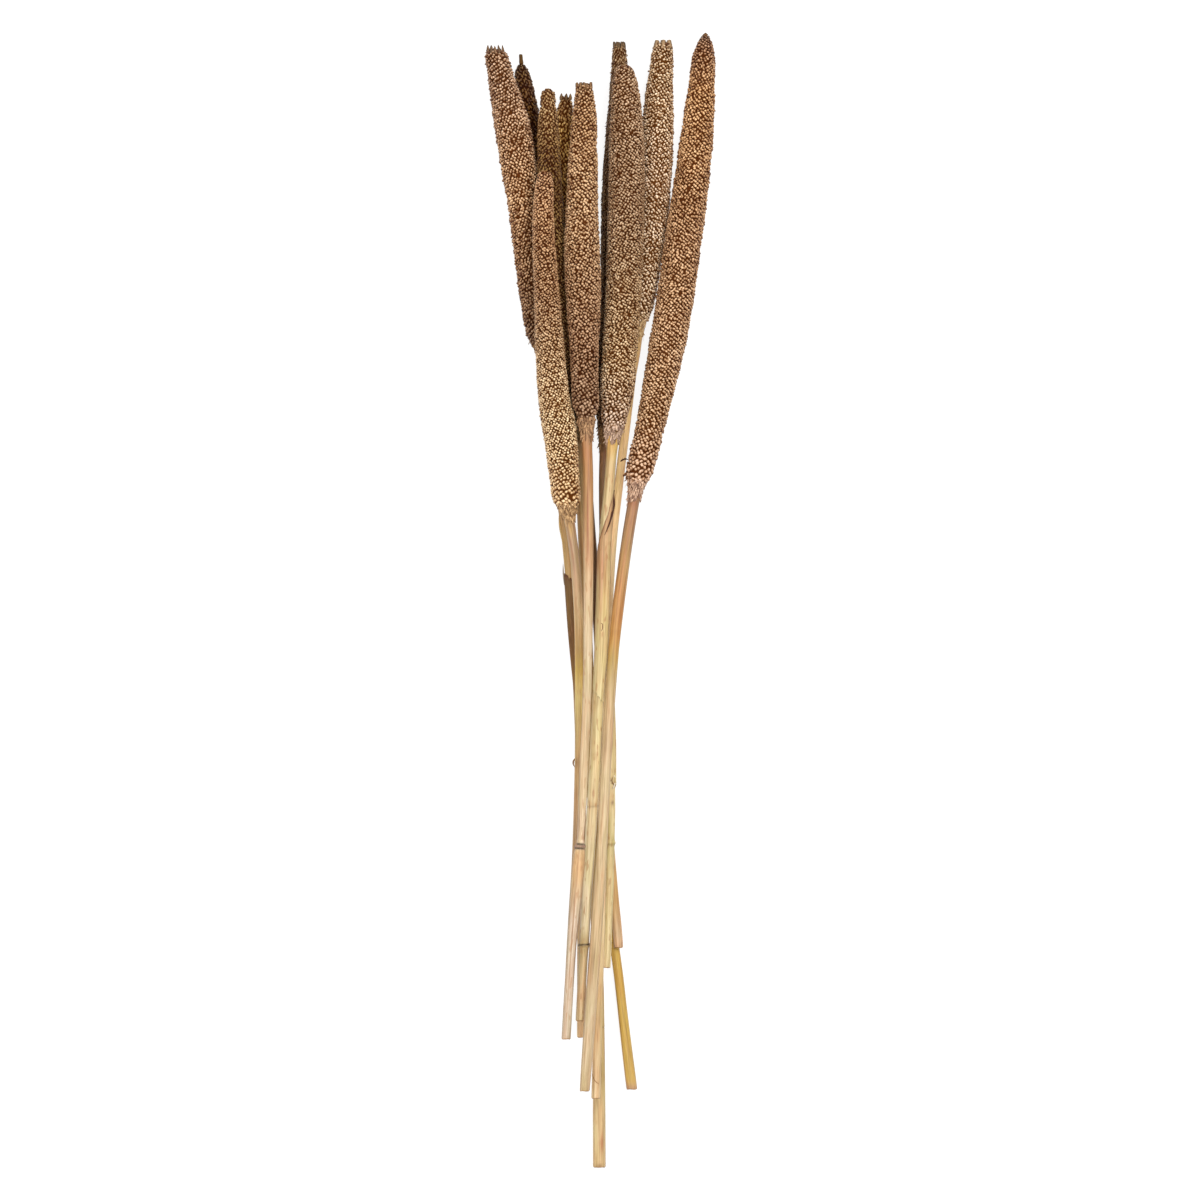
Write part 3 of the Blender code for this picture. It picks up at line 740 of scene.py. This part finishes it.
def headBristles(number, random, rings, even, lineY, lineReach):
    # fine bristles between the grains, leaning towards the tip; a flatter head has fewer and shorter ones
    tall = headStyles[number]["tall"]
    at = random.uniform(3 * mm, even[-1] - 9 * mm, int(huskStyles["bristles"] * tall))
    reach = np.interp(at, even, lineReach)
    at = at[reach > 2.5 * mm]
    reach = reach[reach > 2.5 * mm]
    count = len(at)
    angle = random.uniform(0, tau, count)
    y = np.interp(at, even, lineY)
    slopeY = np.interp(at, even, np.gradient(lineY, even))
    slopeReach = np.interp(at, even, np.gradient(lineReach, even))
    surface, normal, towards = surfaceFrame(rings, y, reach - 1.2 * mm, slopeY, slopeReach, angle)
    across = np.cross(normal, towards)
    upward = random.uniform(0.2, 1.3, count)[:, None]
    heading = unit(normal + towards * upward + across * random.normal(0, 0.4, count)[:, None])
    size = huskStyles["bristleLength"] * random.uniform(0.6, 1.05, count) * tall ** 0.5
    width = huskStyles["bristleWidth"] * random.uniform(0.7, 1.4, count)
    shade = shadeAlong(number, y.mean()) / grainTints["gain"]
    tints = tintsBetween(random, shade * 0.8, np.minimum(shade * 2.2, 0.9), count)
    return bladeMesh(surface, heading, towards, size, width, 0.12, tints)


def crownTeeth(number, random, rings):
    # blunt husks that break up the top edge: a row spread evenly over the front, one over the back
    style = crownStyles[headStyles[number]["crown"]]
    count = style["teeth"]
    place = np.tile(np.linspace(-0.88, 0.88, count), 2) + random.uniform(-0.1, 0.1, 2 * count)
    angle = np.arccos(place) * np.repeat([1, -1], count)
    most, least = style["over"]
    tipY = rings[-1, 0] + random.uniform(least, most, 2 * count) * mm
    rootY = np.full(2 * count, rings[-1, 0] - huskStyles["crownDepth"])
    root = ringPoint(rings, rootY, 0.82 * np.interp(rootY, rings[:, 0], rings[:, 3]), angle)
    tip = ringPoint(rings, tipY, style["wide"] * rings[-1, 3], angle)
    outward = np.stack([0.4 * np.cos(angle), np.zeros(2 * count), np.sign(angle)], axis=-1)
    size = np.linalg.norm(tip - root, axis=-1)
    width = style["width"] * mm * random.uniform(0.85, 1.15, 2 * count)
    shade = shadeAlong(number, rings[-1, 0]) / grainTints["gain"]
    tints = tintsBetween(random, shade * style["share"][0], shade * style["share"][1], 2 * count)
    return bladeMesh(root, unit(tip - root), outward, size, width, 0.03, tints, style["blade"])


def huskMesh(number):
    random = np.random.default_rng(300 + number)
    rings, even, lineY, lineReach = headProfile(number)
    parts = [
        neckHusks(number, random, rings, lineY, lineReach),
        headBristles(number, random, rings, even, lineY, lineReach),
    ]
    if headStyles[number]["crown"] in crownStyles:
        parts.append(crownTeeth(number, random, rings))
    points, faces, tints = joinParts(parts)
    makePiece(
        f"husks_{number}", points, faces, fibreMaterial(f"husk fibre {number}"),
        [f"head_{number}"], {"tint": tints},
    )


grainTotal = 0
for number in headStyles:
    grainTotal += grainMesh(number)
    coreMesh(number)
    huskMesh(number)
print("seed heads made, grains:", grainTotal)


# Stems: ribbed straw tubes with knots, cut ends and their own colours

# colours run from the head down, as (y in millimetres, red, green, blue); marks are soft ovals, as
# (y, angle in degrees, length, width, colour, strength); the long dark marks low on the sides of stems 5, 8
# and 10 are painted shade where these stems meet their neighbours
stemStyles = {
    1: {"colours": [(157, 140, 100, 62), (104, 160, 120, 76), (60, 196, 156, 104),
                    (20, 206, 170, 116), (-62, 180, 144, 92), (-110, 196, 158, 96),
                    (-160, 212, 172, 84), (-240, 202, 168, 80), (-296, 208, 174, 96),
                    (-301, 196, 156, 122)],
        "marks": [], "ribs": 11, "flecks": 0.15},
    # stem 2 is darker towards its head: painted shade where it lies under the other stems and heads
    2: {"colours": [(157, 96, 66, 40), (40, 128, 98, 64), (-120, 206, 174, 124),
                    (-269, 226, 198, 156)],
        "marks": [], "ribs": 9, "flecks": 0.2},
    3: {"colours": [(107, 150, 120, 76), (62, 184, 154, 102), (20, 184, 152, 104),
                    (-100, 202, 174, 120), (-283, 206, 182, 132), (-326, 212, 190, 144),
                    (-349, 212, 182, 136)],
        "marks": [(-335, 66, 6, 1.2, (176, 96, 60), 0.75), (-349, 90, 1.5, 1.6, (110, 66, 40), 0.6),
                  (-320, 92, 26, 0.3, (176, 138, 88), 0.7)],
        "ribs": 10, "flecks": 0.2},
    # stem 4's dark brown from its head down to about 0 mm is painted shade where it shows in the narrow gaps
    # between the stems over it
    4: {"colours": [(110, 110, 82, 50), (40, 104, 76, 40), (0, 104, 74, 36), (-40, 140, 104, 58),
                    (-100, 196, 158, 112), (-185, 204, 164, 106), (-206, 218, 190, 154),
                    (-214, 226, 190, 154)],
        "marks": [(-212.6, 43, 1.4, 0.8, (96, 60, 40), 0.8), (-213.2, 150, 1.4, 0.8, (96, 60, 40), 0.8)],
        "ribs": 9, "flecks": 0.2},
    5: {"colours": [(109, 176, 138, 98), (99, 178, 132, 90), (90, 178, 126, 84), (80, 182, 139, 93),
                    (40, 192, 153, 112), (0, 216, 191, 156), (-30, 212, 194, 162),
                    (-80, 210, 188, 152), (-120, 214, 192, 156), (-149, 230, 208, 182),
                    (-155, 216, 184, 138), (-170, 216, 188, 144), (-197, 211, 194, 174),
                    (-270, 205, 187, 166)],
        "marks": [(52, 98, 20, 0.35, (168, 74, 52), 0.75), (-200, 96, 60, 0.3, (164, 114, 66), 0.7),
                  # the marks at 27, 160 and 172 degrees are painted shade along the sides where stem 5 meets
                  # its neighbours
                  (-195, 27, 44, 0.6, (110, 68, 36), 0.7), (-180, 160, 50, 0.7, (136, 118, 100), 0.6),
                  (-105, 172, 40, 0.7, (150, 118, 84), 0.5),
                  (-140, 128, 12, 0.7, (150, 110, 80), 0.6), (-158, 110, 3, 1.4, (176, 128, 84), 0.4)],
        "ribs": 12, "flecks": 0.5},
    6: {"colours": [(56, 186, 150, 104), (36, 182, 154, 124), (10, 204, 174, 138),
                    (-10, 214, 188, 142), (-30, 196, 162, 104), (-44, 210, 178, 96),
                    (-62, 220, 196, 134), (-84, 206, 178, 124), (-140, 186, 158, 122),
                    (-266, 190, 164, 130)],
        "marks": [(-100, 120, 3, 0.8, (120, 80, 48), 0.7), (26, 118, 20, 1.0, (178, 142, 126), 0.55),
                  (44, 92, 5, 0.9, (208, 172, 84), 0.6), (30, 64, 26, 0.9, (160, 136, 96), 0.4)],
        "ribs": 10, "flecks": 0.3},
    7: {"colours": [(103, 138, 96, 54), (70, 146, 114, 80), (50, 134, 104, 68), (10, 174, 140, 90),
                    (-60, 214, 192, 140), (-116, 232, 216, 170), (-150, 216, 204, 152),
                    (-226, 236, 218, 174)],
        "marks": [(-125, 70, 1.6, 0.8, (110, 70, 40), 0.75), (-146, 120, 3, 1.0, (198, 156, 122), 0.7),
                  (-151, 130, 2, 0.9, (190, 144, 116), 0.6), (-149, 60, 3, 1.2, (182, 172, 96), 0.6)],
        "ribs": 10, "flecks": 0.5},
    8: {"colours": [(104, 190, 162, 124), (99, 222, 184, 104), (92, 210, 180, 116),
                    (84, 208, 186, 140), (40, 216, 202, 160), (-20, 218, 196, 146),
                    (-60, 224, 210, 162), (-100, 226, 209, 162), (-160, 230, 216, 180),
                    (-200, 232, 218, 188), (-212, 190, 164, 116), (-222, 204, 182, 140),
                    (-259, 216, 194, 154)],
        "marks": [(28, 96, 9, 2.0, (170, 110, 72), 0.35), (-96, 100, 3, 2.2, (190, 150, 102), 0.5),
                  # the two long dark marks at 153 and 27 degrees are painted shade along the sides where
                  # stem 8 meets its neighbours
                  (-198, 153, 44, 0.6, (96, 60, 34), 0.7), (-198, 27, 50, 0.6, (92, 56, 30), 0.75),
                  (-126, 86, 2.2, 2.6, (196, 158, 110), 0.5)],
        "ribs": 12, "flecks": 0.6},
    9: {"colours": [(172, 196, 160, 108), (140, 224, 190, 132), (118, 250, 214, 154),
                    (60, 254, 222, 168), (20, 250, 222, 174), (-120, 242, 216, 172),
                    (-185, 246, 224, 180), (-246, 214, 186, 138), (-307, 228, 204, 164)],
        "marks": [], "ribs": 9, "flecks": 0.15},
    10: {"colours": [(71, 166, 130, 106), (60, 164, 126, 96), (40, 168, 134, 98),
                     (22, 184, 148, 98), (-12, 190, 142, 84), (-22, 192, 148, 82),
                     (-36, 188, 160, 96), (-52, 198, 172, 130), (-90, 204, 179, 144),
                     (-123, 214, 194, 158), (-220, 202, 177, 138), (-265, 208, 190, 158),
                     (-302, 204, 180, 144)],
         "marks": [(-20, 90, 1.2, 3.0, (150, 104, 62), 0.4), (30, 92, 34, 1.3, (202, 136, 78), 0.55),
                   # the dark mark at 158 degrees is painted shade along the side where stem 10 meets stem 8
                   (-190, 158, 60, 0.6, (104, 66, 38), 0.6), (-190, 28, 60, 0.35, (176, 138, 92), 0.5),
                   (40, 168, 36, 1.6, (156, 128, 114), 0.6), (40, 14, 30, 1.4, (170, 146, 132), 0.5),
                   (59, 90, 1.4, 3.5, (150, 92, 50), 0.55)],
         "ribs": 12, "flecks": 0.15},
}
# knots as (y in millimetres, strength, and where the dark lines run beside it, in millimetres)
stemKnots = {
    5: [(-151.6, 1.0, (1.35, -1.35))], 7: [(-149.7, 0.3, (-1.2,))], 1: [(-210.0, 0.4, (-1.2,))],
    8: [(-212.8, 1.0, (0.6,)), (-126.0, 0.25, (-1.2,))], 3: [(-262.0, 0.3, (-1.2,))],
}
# the cut end's rings from its rim inwards, as (share of the reach, depth in millimetres, colour)
endRings = (
    (0.93, 0.25, (196, 156, 108)), (0.80, 0.0, (136, 94, 58)), (0.66, 0.1, (226, 196, 150)),
    (0.35, 0.55, (236, 214, 176)),
)
# a strong knot has a soft pale band round it; dark lines run beside every knot
strawShape = {
    "sides": 30, "step": 2.0 * mm, "ribDepth": 0.014, "wobble": 0.02, "knotLine": 0.9 * mm,
    "bandShare": 0.8, "bandWidth": 1.0 * mm, "band": (150, 118, 106),
    "lineWidth": 0.7 * mm, "line": (22, 9, 4), "pithDepth": 0.6 * mm, "pith": (214, 184, 140),
}


def paintTint(style, y, angle, reach):
    # the colours along the stem, then each mark mixed in by a soft oval round its place
    tint = coloursAlong(style["colours"], y)
    for place, degrees, length, width, rgb, strength in style["marks"]:
        around = np.angle(np.exp(1j * (angle - math.radians(degrees)))) * reach / (width * mm)
        blendTint(tint, rgb, np.exp(-((y - place * mm) / (length * mm)) ** 2 - around ** 2) * strength)
    return np.concatenate([tint, np.ones((*tint.shape[:-1], 1))], axis=-1)


def stemMesh(number):
    # a circle carried along the stem's line; its reach has fine ribs, a slow wobble and knots
    random = np.random.default_rng(500 + number)
    style = stemStyles[number]
    rings = ringsOf(f"stem_{number}")
    end = rings[0, 0]
    top = rings[-1, 0]
    y = np.linspace(end + 0.8 * mm, top + 2.5 * mm, math.ceil((top - end) / strawShape["step"]))
    knots = [(place * mm, strength, lines) for place, strength, lines in stemKnots.get(number, [])]
    nearKnots = [knot + np.linspace(-3, 3, 25) * mm for knot, _, _ in knots]
    y = np.unique(np.concatenate([y, *nearKnots]))
    known = np.clip(y, end, top)
    reach = np.interp(known, rings[1:, 0], rings[1:, 3])
    x, z = centreAt(rings, known)
    sides = strawShape["sides"]
    angle = tau * np.arange(sides) / sides
    ribs = np.cos(style["ribs"] * angle[None, :] + 6 * y[:, None] + number)
    waves = [k * angle[None, :] + y[:, None] * (31 + 17 * k) + random.uniform(0, tau) for k in (1, 2, 3)]
    wobble = np.sin(waves).mean(axis=0)
    share = 1 - strawShape["ribDepth"] * (0.5 - 0.5 * ribs) + strawShape["wobble"] * (wobble - 1) / 2
    for knot, strength, _ in knots:
        off = (y - knot) / strawShape["knotLine"]
        bulge = 0.055 * np.exp(-(off / 1.6) ** 2) - 0.075 * np.exp(-((off + 1.4) / 0.45) ** 2)
        share = share + strength * bulge[:, None]
    wide = reach[:, None] * share
    everyRow = np.repeat(y[:, None], sides, 1)
    grid = roundPoints(x[:, None], everyRow, z[:, None], wide, angle)
    tint = paintTint(style, everyRow, np.repeat(angle[None, :], len(y), 0), wide)
    for knot, strength, lines in knots:
        if len(lines) == 2:
            band = np.exp(-((everyRow - knot) / strawShape["bandWidth"]) ** 4)
            blendTint(tint, strawShape["band"], strawShape["bandShare"] * band)
        for off in lines:
            uneven = 0.85 + 0.15 * np.sin(2 * angle + number + off) * np.sin(5 * angle + off)
            line = knot + off * mm + 0.2 * mm * np.sin(angle + number)
            share = np.exp(-((everyRow - line) / strawShape["lineWidth"]) ** 2) * uneven * strength
            blendTint(tint, strawShape["line"], share)

    # the cut end: a bevel, a brown rim, and pale pith set a little inwards
    cap = []
    capTint = []
    for share, depth, rgb in endRings:
        ragged = 1 + 0.03 * np.sin(5 * angle + number)
        rim = wide[0] * share * ragged
        level = end + depth * mm + 0.12 * mm * np.sin(3 * angle + 2 * number)
        cap.append(roundPoints(x[0], level, z[0], rim, angle))
        capTint.append(np.repeat(np.append(linear(rgb), 1.0)[None], sides, 0))
    cap = np.array(cap[::-1])
    poles = [[x[0], end + strawShape["pithDepth"], z[0]], [x[-1], y[-1], z[-1]]]
    poleTints = [[*linear(strawShape["pith"]), 1.0]] * 2
    points = np.concatenate([cap.reshape(-1, 3), grid.reshape(-1, 3), poles])
    tints = np.concatenate([np.array(capTint[::-1]).reshape(-1, 4), tint.reshape(-1, 4), poleTints])
    rows = len(cap) + len(y)
    everyY = np.concatenate([cap.reshape(-1, 3)[:, 1], np.repeat(y, sides), [end, top]])
    everyAngle = np.concatenate([np.tile(angle, rows), [0.0, 0.0]])
    size = np.concatenate([np.full(len(cap) * sides, reach[0]), np.repeat(reach, sides), [0.0, 0.0]])
    fibre = roundPoints(0.0, everyY + 0.37 * number, 0.0, size, everyAngle)      # its own streaks
    material = strawMaterial(f"straw {number}", 0.5, style["flecks"])
    makePiece(
        f"straw_{number}", points, tubeFaces(rows, sides), material,
        [f"stem_{number}"], {"tint": tints, "fibre": fibre},
    )


for number in stemStyles:
    stemMesh(number)
print("stems made:", len(stemStyles))


# Leaf sheaths: thin ribbed wraps round three of the stems, torn at their ends

# arc is in degrees round the stem; slants lower the far edge of the torn ends, top and bottom; edge
# is their darker colour, as strong as its two shares at the top and at the bottom; over its last
# "merge" millimetres the sheath thins out and lies down on the stem
sheathStyles = {
    1: {"arc": (60, 232), "slants": (5.0, 24.0), "edge": (110, 54, 40), "edgeShares": (0.8, 0.3),
        "colours": [(14, 124, 94, 48), (-20, 118, 84, 34), (-61, 142, 106, 50)],
        "marks": [], "flecks": 0.2, "curl": 0.0, "merge": 0.0},
    7: {"arc": (-50, 230), "slants": (-9.0, -9.0), "edge": (150, 108, 66), "edgeShares": (0.5, 0.7),
        "colours": [(20, 170, 138, 90), (-60, 212, 190, 138), (-112, 228, 210, 160)],
        "marks": [], "flecks": 0.5, "curl": 0.9, "merge": 0.0},
    8: {"arc": (-50, 230), "slants": (-34.0, -18.0), "edge": (104, 58, 32), "edgeShares": (0.8, 0.0),
        "colours": [(68, 206, 178, 138), (50, 198, 160, 120), (25, 198, 166, 126),
                    (0, 210, 187, 140), (-30, 216, 196, 146), (-60, 224, 210, 164)],
        "marks": [(24, 128, 14, 0.9, (178, 140, 96), 0.5), (16, 104, 20, 0.5, (206, 150, 124), 0.7),
                  (6, 78, 20, 0.8, (196, 156, 78), 0.55), (10, 40, 30, 1.2, (230, 210, 160), 0.7)],
        "flecks": 0.6, "curl": 0.0, "merge": 30.0},
}
sheathShape = {
    "clearance": 0.25 * mm, "wall": 0.4 * mm, "tear": 1.1 * mm, "ribs": 26, "ribHeight": 0.05 * mm,
    "step": 1.5 * mm, "columns": 44, "laidDown": 0.03 * mm, "curlReach": 2.2 * mm, "curlAngle": 25,
}


def sheathMesh(number):
    # an arc carried along the stem a little outside it; both walls share their edges, and the ends are torn
    style = sheathStyles[number]
    stem = ringsOf(f"stem_{number}")
    low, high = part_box(f"sheath_{number}")
    topSlant, lowSlant = (slant * mm for slant in style["slants"])
    start = low[1] + abs(lowSlant) / 2
    finish = high[1] - abs(topSlant) / 2
    rows = math.ceil((finish - start) / sheathShape["step"])
    columns = sheathShape["columns"]
    along = np.linspace(0, 1, rows)[:, None]
    around = np.linspace(0, 1, columns)[None, :]
    first, last = style["arc"]
    angle = np.radians(first + (last - first) * around)
    tearTop = sheathShape["tear"] * (np.sin(19 * around + number) + 0.6 * np.sin(47 * around + 2))
    tearLow = sheathShape["tear"] * (np.sin(23 * around + 1.7) + 0.6 * np.sin(53 * around + number))
    straightAbove = 0.5 - 0.5 * np.cos(np.clip(angle, 0.0, math.pi))
    yTop = finish + topSlant * (straightAbove - 0.5) + np.minimum(tearTop, 0.0)
    yLow = start - lowSlant * (around - 0.5) + np.maximum(tearLow, 0.0)
    y = yLow + (yTop - yLow) * along
    reach = np.interp(y, stem[1:, 0], stem[1:, 3]) + sheathShape["clearance"]
    x, z = centreAt(stem, y)
    ribs = sheathShape["ribHeight"] * np.cos(sheathShape["ribs"] * angle)
    taper = np.minimum(1.0, np.minimum(along, 1 - along) * rows / 5 + 0.25)
    nearRight = np.exp(-((angle - math.radians(sheathShape["curlAngle"])) / 0.5) ** 2)
    curl = style["curl"] * mm * np.exp(-(y - yLow) / sheathShape["curlReach"]) * nearRight
    lift = np.clip((y - yLow) / max(style["merge"] * mm, 0.01 * mm), 0.0, 1.0)
    walls = []
    for extra in (sheathShape["wall"] * taper + ribs + curl, curl):
        skin = reach - sheathShape["clearance"] + sheathShape["laidDown"]
        walls.append(roundPoints(x, y, z, skin + lift * (extra + sheathShape["clearance"]), angle))
    outer = gridFaces(rows, columns, 0, False)[:, ::-1]
    inner = gridFaces(rows, columns, rows * columns, False)
    away = rows * columns
    rowStart = np.arange(rows - 1) * columns
    columnStart = np.arange(columns - 1)
    nextRow = rowStart + columns
    sideB = np.stack([rowStart, nextRow, nextRow + away, rowStart + away], axis=-1) + columns - 1
    sideA = sideB[:, ::-1] - columns + 1
    endA = np.stack([columnStart, columnStart + 1, columnStart + 1 + away, columnStart + away], axis=-1)
    endB = endA[:, ::-1] + (rows - 1) * columns
    topEdge, lowEdge = style["edgeShares"]
    fullAngle = np.repeat(angle, rows, 0)
    tint = paintTint(style, y, fullAngle, reach)
    nearTop = topEdge * np.exp(-(1 - along) * rows / 1.3)
    nearLow = lowEdge * np.exp(-along * rows / 1.3)
    nearSides = np.exp(-np.minimum(around, 1 - around) * columns / 1.1)
    nearSides = nearSides * (lowEdge + (topEdge - lowEdge) * along)
    blendTint(tint, style["edge"], np.clip(nearTop + nearLow + nearSides, 0, 0.9))
    fibre = roundPoints(0.0, y + 0.91 * number, 0.0, reach, fullAngle)           # its own streaks
    points = np.concatenate([walls[0].reshape(-1, 3), walls[1].reshape(-1, 3)])
    material = strawMaterial(f"sheath {number}", 0.6, style["flecks"])
    makePiece(
        f"wrap_{number}", points, [outer, inner, sideA, sideB, endA, endB], material,
        [f"sheath_{number}"],
        {"tint": np.tile(tint.reshape(-1, 4), (2, 1)), "fibre": np.tile(fibre.reshape(-1, 3), (2, 1))},
    )


for number in sheathStyles:
    sheathMesh(number)
print("leaf sheaths made:", len(sheathStyles))


# Small things on the stems: a twig, fibres, a bud and torn slivers, each a thin strand on the skin

tipAcross = 65.1 * mm        # how far the right head's tip lies right of the picture's middle
planShift = ringsOf("head_10")[-1][1] - tipAcross
# path is (x from the picture's middle, y, height over the stem's top skin, half thickness), all in
# millimetres
strandStyles = {
    "twig": {"stem": 9, "tint": (78, 48, 26),
             "path": [(12.4, 85.3, 0.1, 0.5), (14.0, 86.3, 0.3, 0.5), (15.6, 86.9, 0.9, 0.45),
                      (17.2, 86.5, 1.4, 0.3), (18.6, 85.0, 1.4, 0.15)]},
    "tear": {"stem": 8, "tint": (66, 34, 14),
             "path": [(8.6, 65.4, 1.8, 0.3), (8.5, 60.0, 2.3, 1.0), (7.7, 54.5, 2.1, 0.85),
                      (6.4, 49.0, 1.4, 0.55), (4.6, 44.0, 1.2, 0.4), (2.6, 39.6, 1.0, 0.2)]},
    "blade": {"stem": 1, "tint": (192, 158, 104),
              "path": [(-25.4, 52.0, 0.2, 0.4), (-24.4, 45.0, 0.2, 0.9), (-23.2, 38.0, 0.1, 0.7),
                       (-21.8, 30.0, 0.0, 0.3)]},
    "fibre": {"stem": 9, "tint": (150, 104, 62),
              "path": [(-4.9, -291.4, 0.1, 0.2), (-4.4, -293.6, 0.15, 0.2), (-3.0, -296.2, 0.15, 0.2),
                       (-0.4, -298.4, 0.1, 0.2)]},
    "bud": {"stem": 6, "tint": (132, 96, 60),
            "path": [(-15.4, -97.6, 0.0, 0.5), (-16.4, -99.4, -0.2, 0.55), (-16.5, -100.8, -0.4, 0.5),
                     (-15.6, -103.2, -0.2, 0.2)]},
    "sliver": {"stem": 1, "tint": (162, 148, 130),
               "path": [(-22.0, 9.0, 0.6, 0.3), (-22.4, 14.0, 0.8, 0.45), (-22.7, 18.5, 0.9, 0.4),
                        (-22.8, 22.6, 0.9, 0.2)]},
    "curl": {"stem": 7, "tint": (228, 214, 190),
             "path": [(8.6, -107.5, 0.7, 0.5), (9.4, -110.5, 0.9, 0.5), (9.0, -113.6, 0.8, 0.5),
                      (7.8, -116.4, 0.5, 0.4)]},
    "curlEdge": {"stem": 7, "tint": (116, 76, 44),
                 "path": [(8.0, -108.6, 1.2, 0.2), (7.4, -111.4, 1.3, 0.2), (7.9, -113.2, 1.3, 0.2),
                          (9.0, -113.9, 1.2, 0.2)]},
    "scar": {"stem": 8, "tint": (118, 76, 46),
             "path": [(0.5, -14.2, 0.7, 0.2), (1.6, -15.1, 0.7, 0.25), (1.6, -17.2, 0.7, 0.25),
                      (0.7, -19.4, 0.7, 0.2)]},
}


def strandMesh(name):
    # four-sided tubes along the path, thin at both ends and closed by a point there
    style = strandStyles[name]
    rings = ringsOf(f"stem_{style['stem']}")
    given = np.array(style["path"]) * mm
    share = np.linspace(0, len(given) - 1, 17)
    x, y, height, thick = (smoothLine(np.arange(len(given)), given[:, k], share) for k in range(4))
    x = x + planShift
    middleX, middleZ = centreAt(rings, y)
    reach = np.interp(y, rings[:, 0], rings[:, 3])
    z = middleZ + np.sqrt(np.maximum(reach ** 2 - (x - middleX) ** 2, 0)) + height
    line = np.stack([x, y, z], axis=-1)
    ahead = unit(np.gradient(line, axis=0))
    aside = unit(np.cross(ahead, np.array([0.0, 0.0, 1.0])))
    upward = np.cross(aside, ahead)
    thick = (thick * np.sin(math.pi * share / share[-1]) ** 0.3)[:, None]
    aside = aside * thick
    upward = upward * thick
    grid = np.stack([line + aside, line + upward, line - aside, line - upward], axis=1)[1:-1]
    points = np.concatenate([grid.reshape(-1, 3), line[[0, -1]]])
    tints = np.repeat(np.append(linear(style["tint"]), 1.0)[None], len(points), 0)
    makePiece(
        name, points, tubeFaces(len(grid), 4, False), fibreMaterial(f"strand {name}"),
        [f"stem_{style['stem']}"], {"tint": tints},
    )


for name in strandStyles:
    strandMesh(name)
print("strands made:", len(strandStyles))


# Floor, light and camera: looking straight down on the bunch

setStyles = {
    "lens": 1400.0, "sensor": 36.0, "frameWidth": 0.7392, "lookHeight": 0.03,
    "floorColour": (0.25, 0.25, 0.25), "floorGlow": 0.85, "floorSize": 8.0, "worldGlow": 0.42,
}
# each light's place, its size in metres and its power in watts; both point at the origin
lightStyles = {"key": ((0.6, 0.5, 2.3), 1.3, 46.0), "fill": ((-0.9, -0.3, 2.2), 2.0, 29.0)}


def makeFloor():
    half = setStyles["floorSize"] / 2
    mesh = bpy.data.meshes.new("floor")
    corners = [(-half, -half, 0), (half, -half, 0), (half, half, 0), (-half, half, 0)]
    mesh.from_pydata(corners, [], [(0, 1, 2, 3)])
    material, _, shader = newMaterial("floor", 0.9, 0.0)
    shader.inputs["Base Color"].default_value = (*setStyles["floorColour"], 1.0)
    shader.inputs["Emission Color"].default_value = (1.0, 1.0, 1.0, 1.0)
    shader.inputs["Emission Strength"].default_value = setStyles["floorGlow"]
    mesh.materials.append(material)
    floor = bpy.data.objects.new("floor", mesh)
    bpy.context.scene.collection.objects.link(floor)


def makeLight(name, place, size, power):
    lamp = bpy.data.lights.new(name, "AREA")
    lamp.size = size
    lamp.energy = power
    holder = bpy.data.objects.new(name, lamp)
    holder.location = place
    tilt = math.acos(place[2] / np.linalg.norm(place))
    holder.rotation_euler = (tilt, 0.0, math.atan2(place[0], -place[1]))
    bpy.context.scene.collection.objects.link(holder)


def makeCamera():
    camera = bpy.data.cameras.new("camera")
    camera.lens = setStyles["lens"]
    camera.sensor_width = setStyles["sensor"]
    holder = bpy.data.objects.new("camera", camera)
    away = setStyles["frameWidth"] * setStyles["lens"] / setStyles["sensor"]
    holder.location = (planShift, 0.0, away + setStyles["lookHeight"])
    camera.clip_end = 50.0
    bpy.context.scene.collection.objects.link(holder)
    bpy.context.scene.camera = holder


makeFloor()
for name, (place, size, power) in lightStyles.items():
    makeLight(name, place, size, power)
world = bpy.data.worlds.new("studio")
bpy.context.scene.world = world
world.use_nodes = True
background = world.node_tree.nodes["Background"]
background.inputs["Color"].default_value = (1.0, 1.0, 1.0, 1.0)
background.inputs["Strength"].default_value = setStyles["worldGlow"]
bpy.context.scene.view_settings.view_transform = "Standard"
makeCamera()
print("floor, light and camera made")
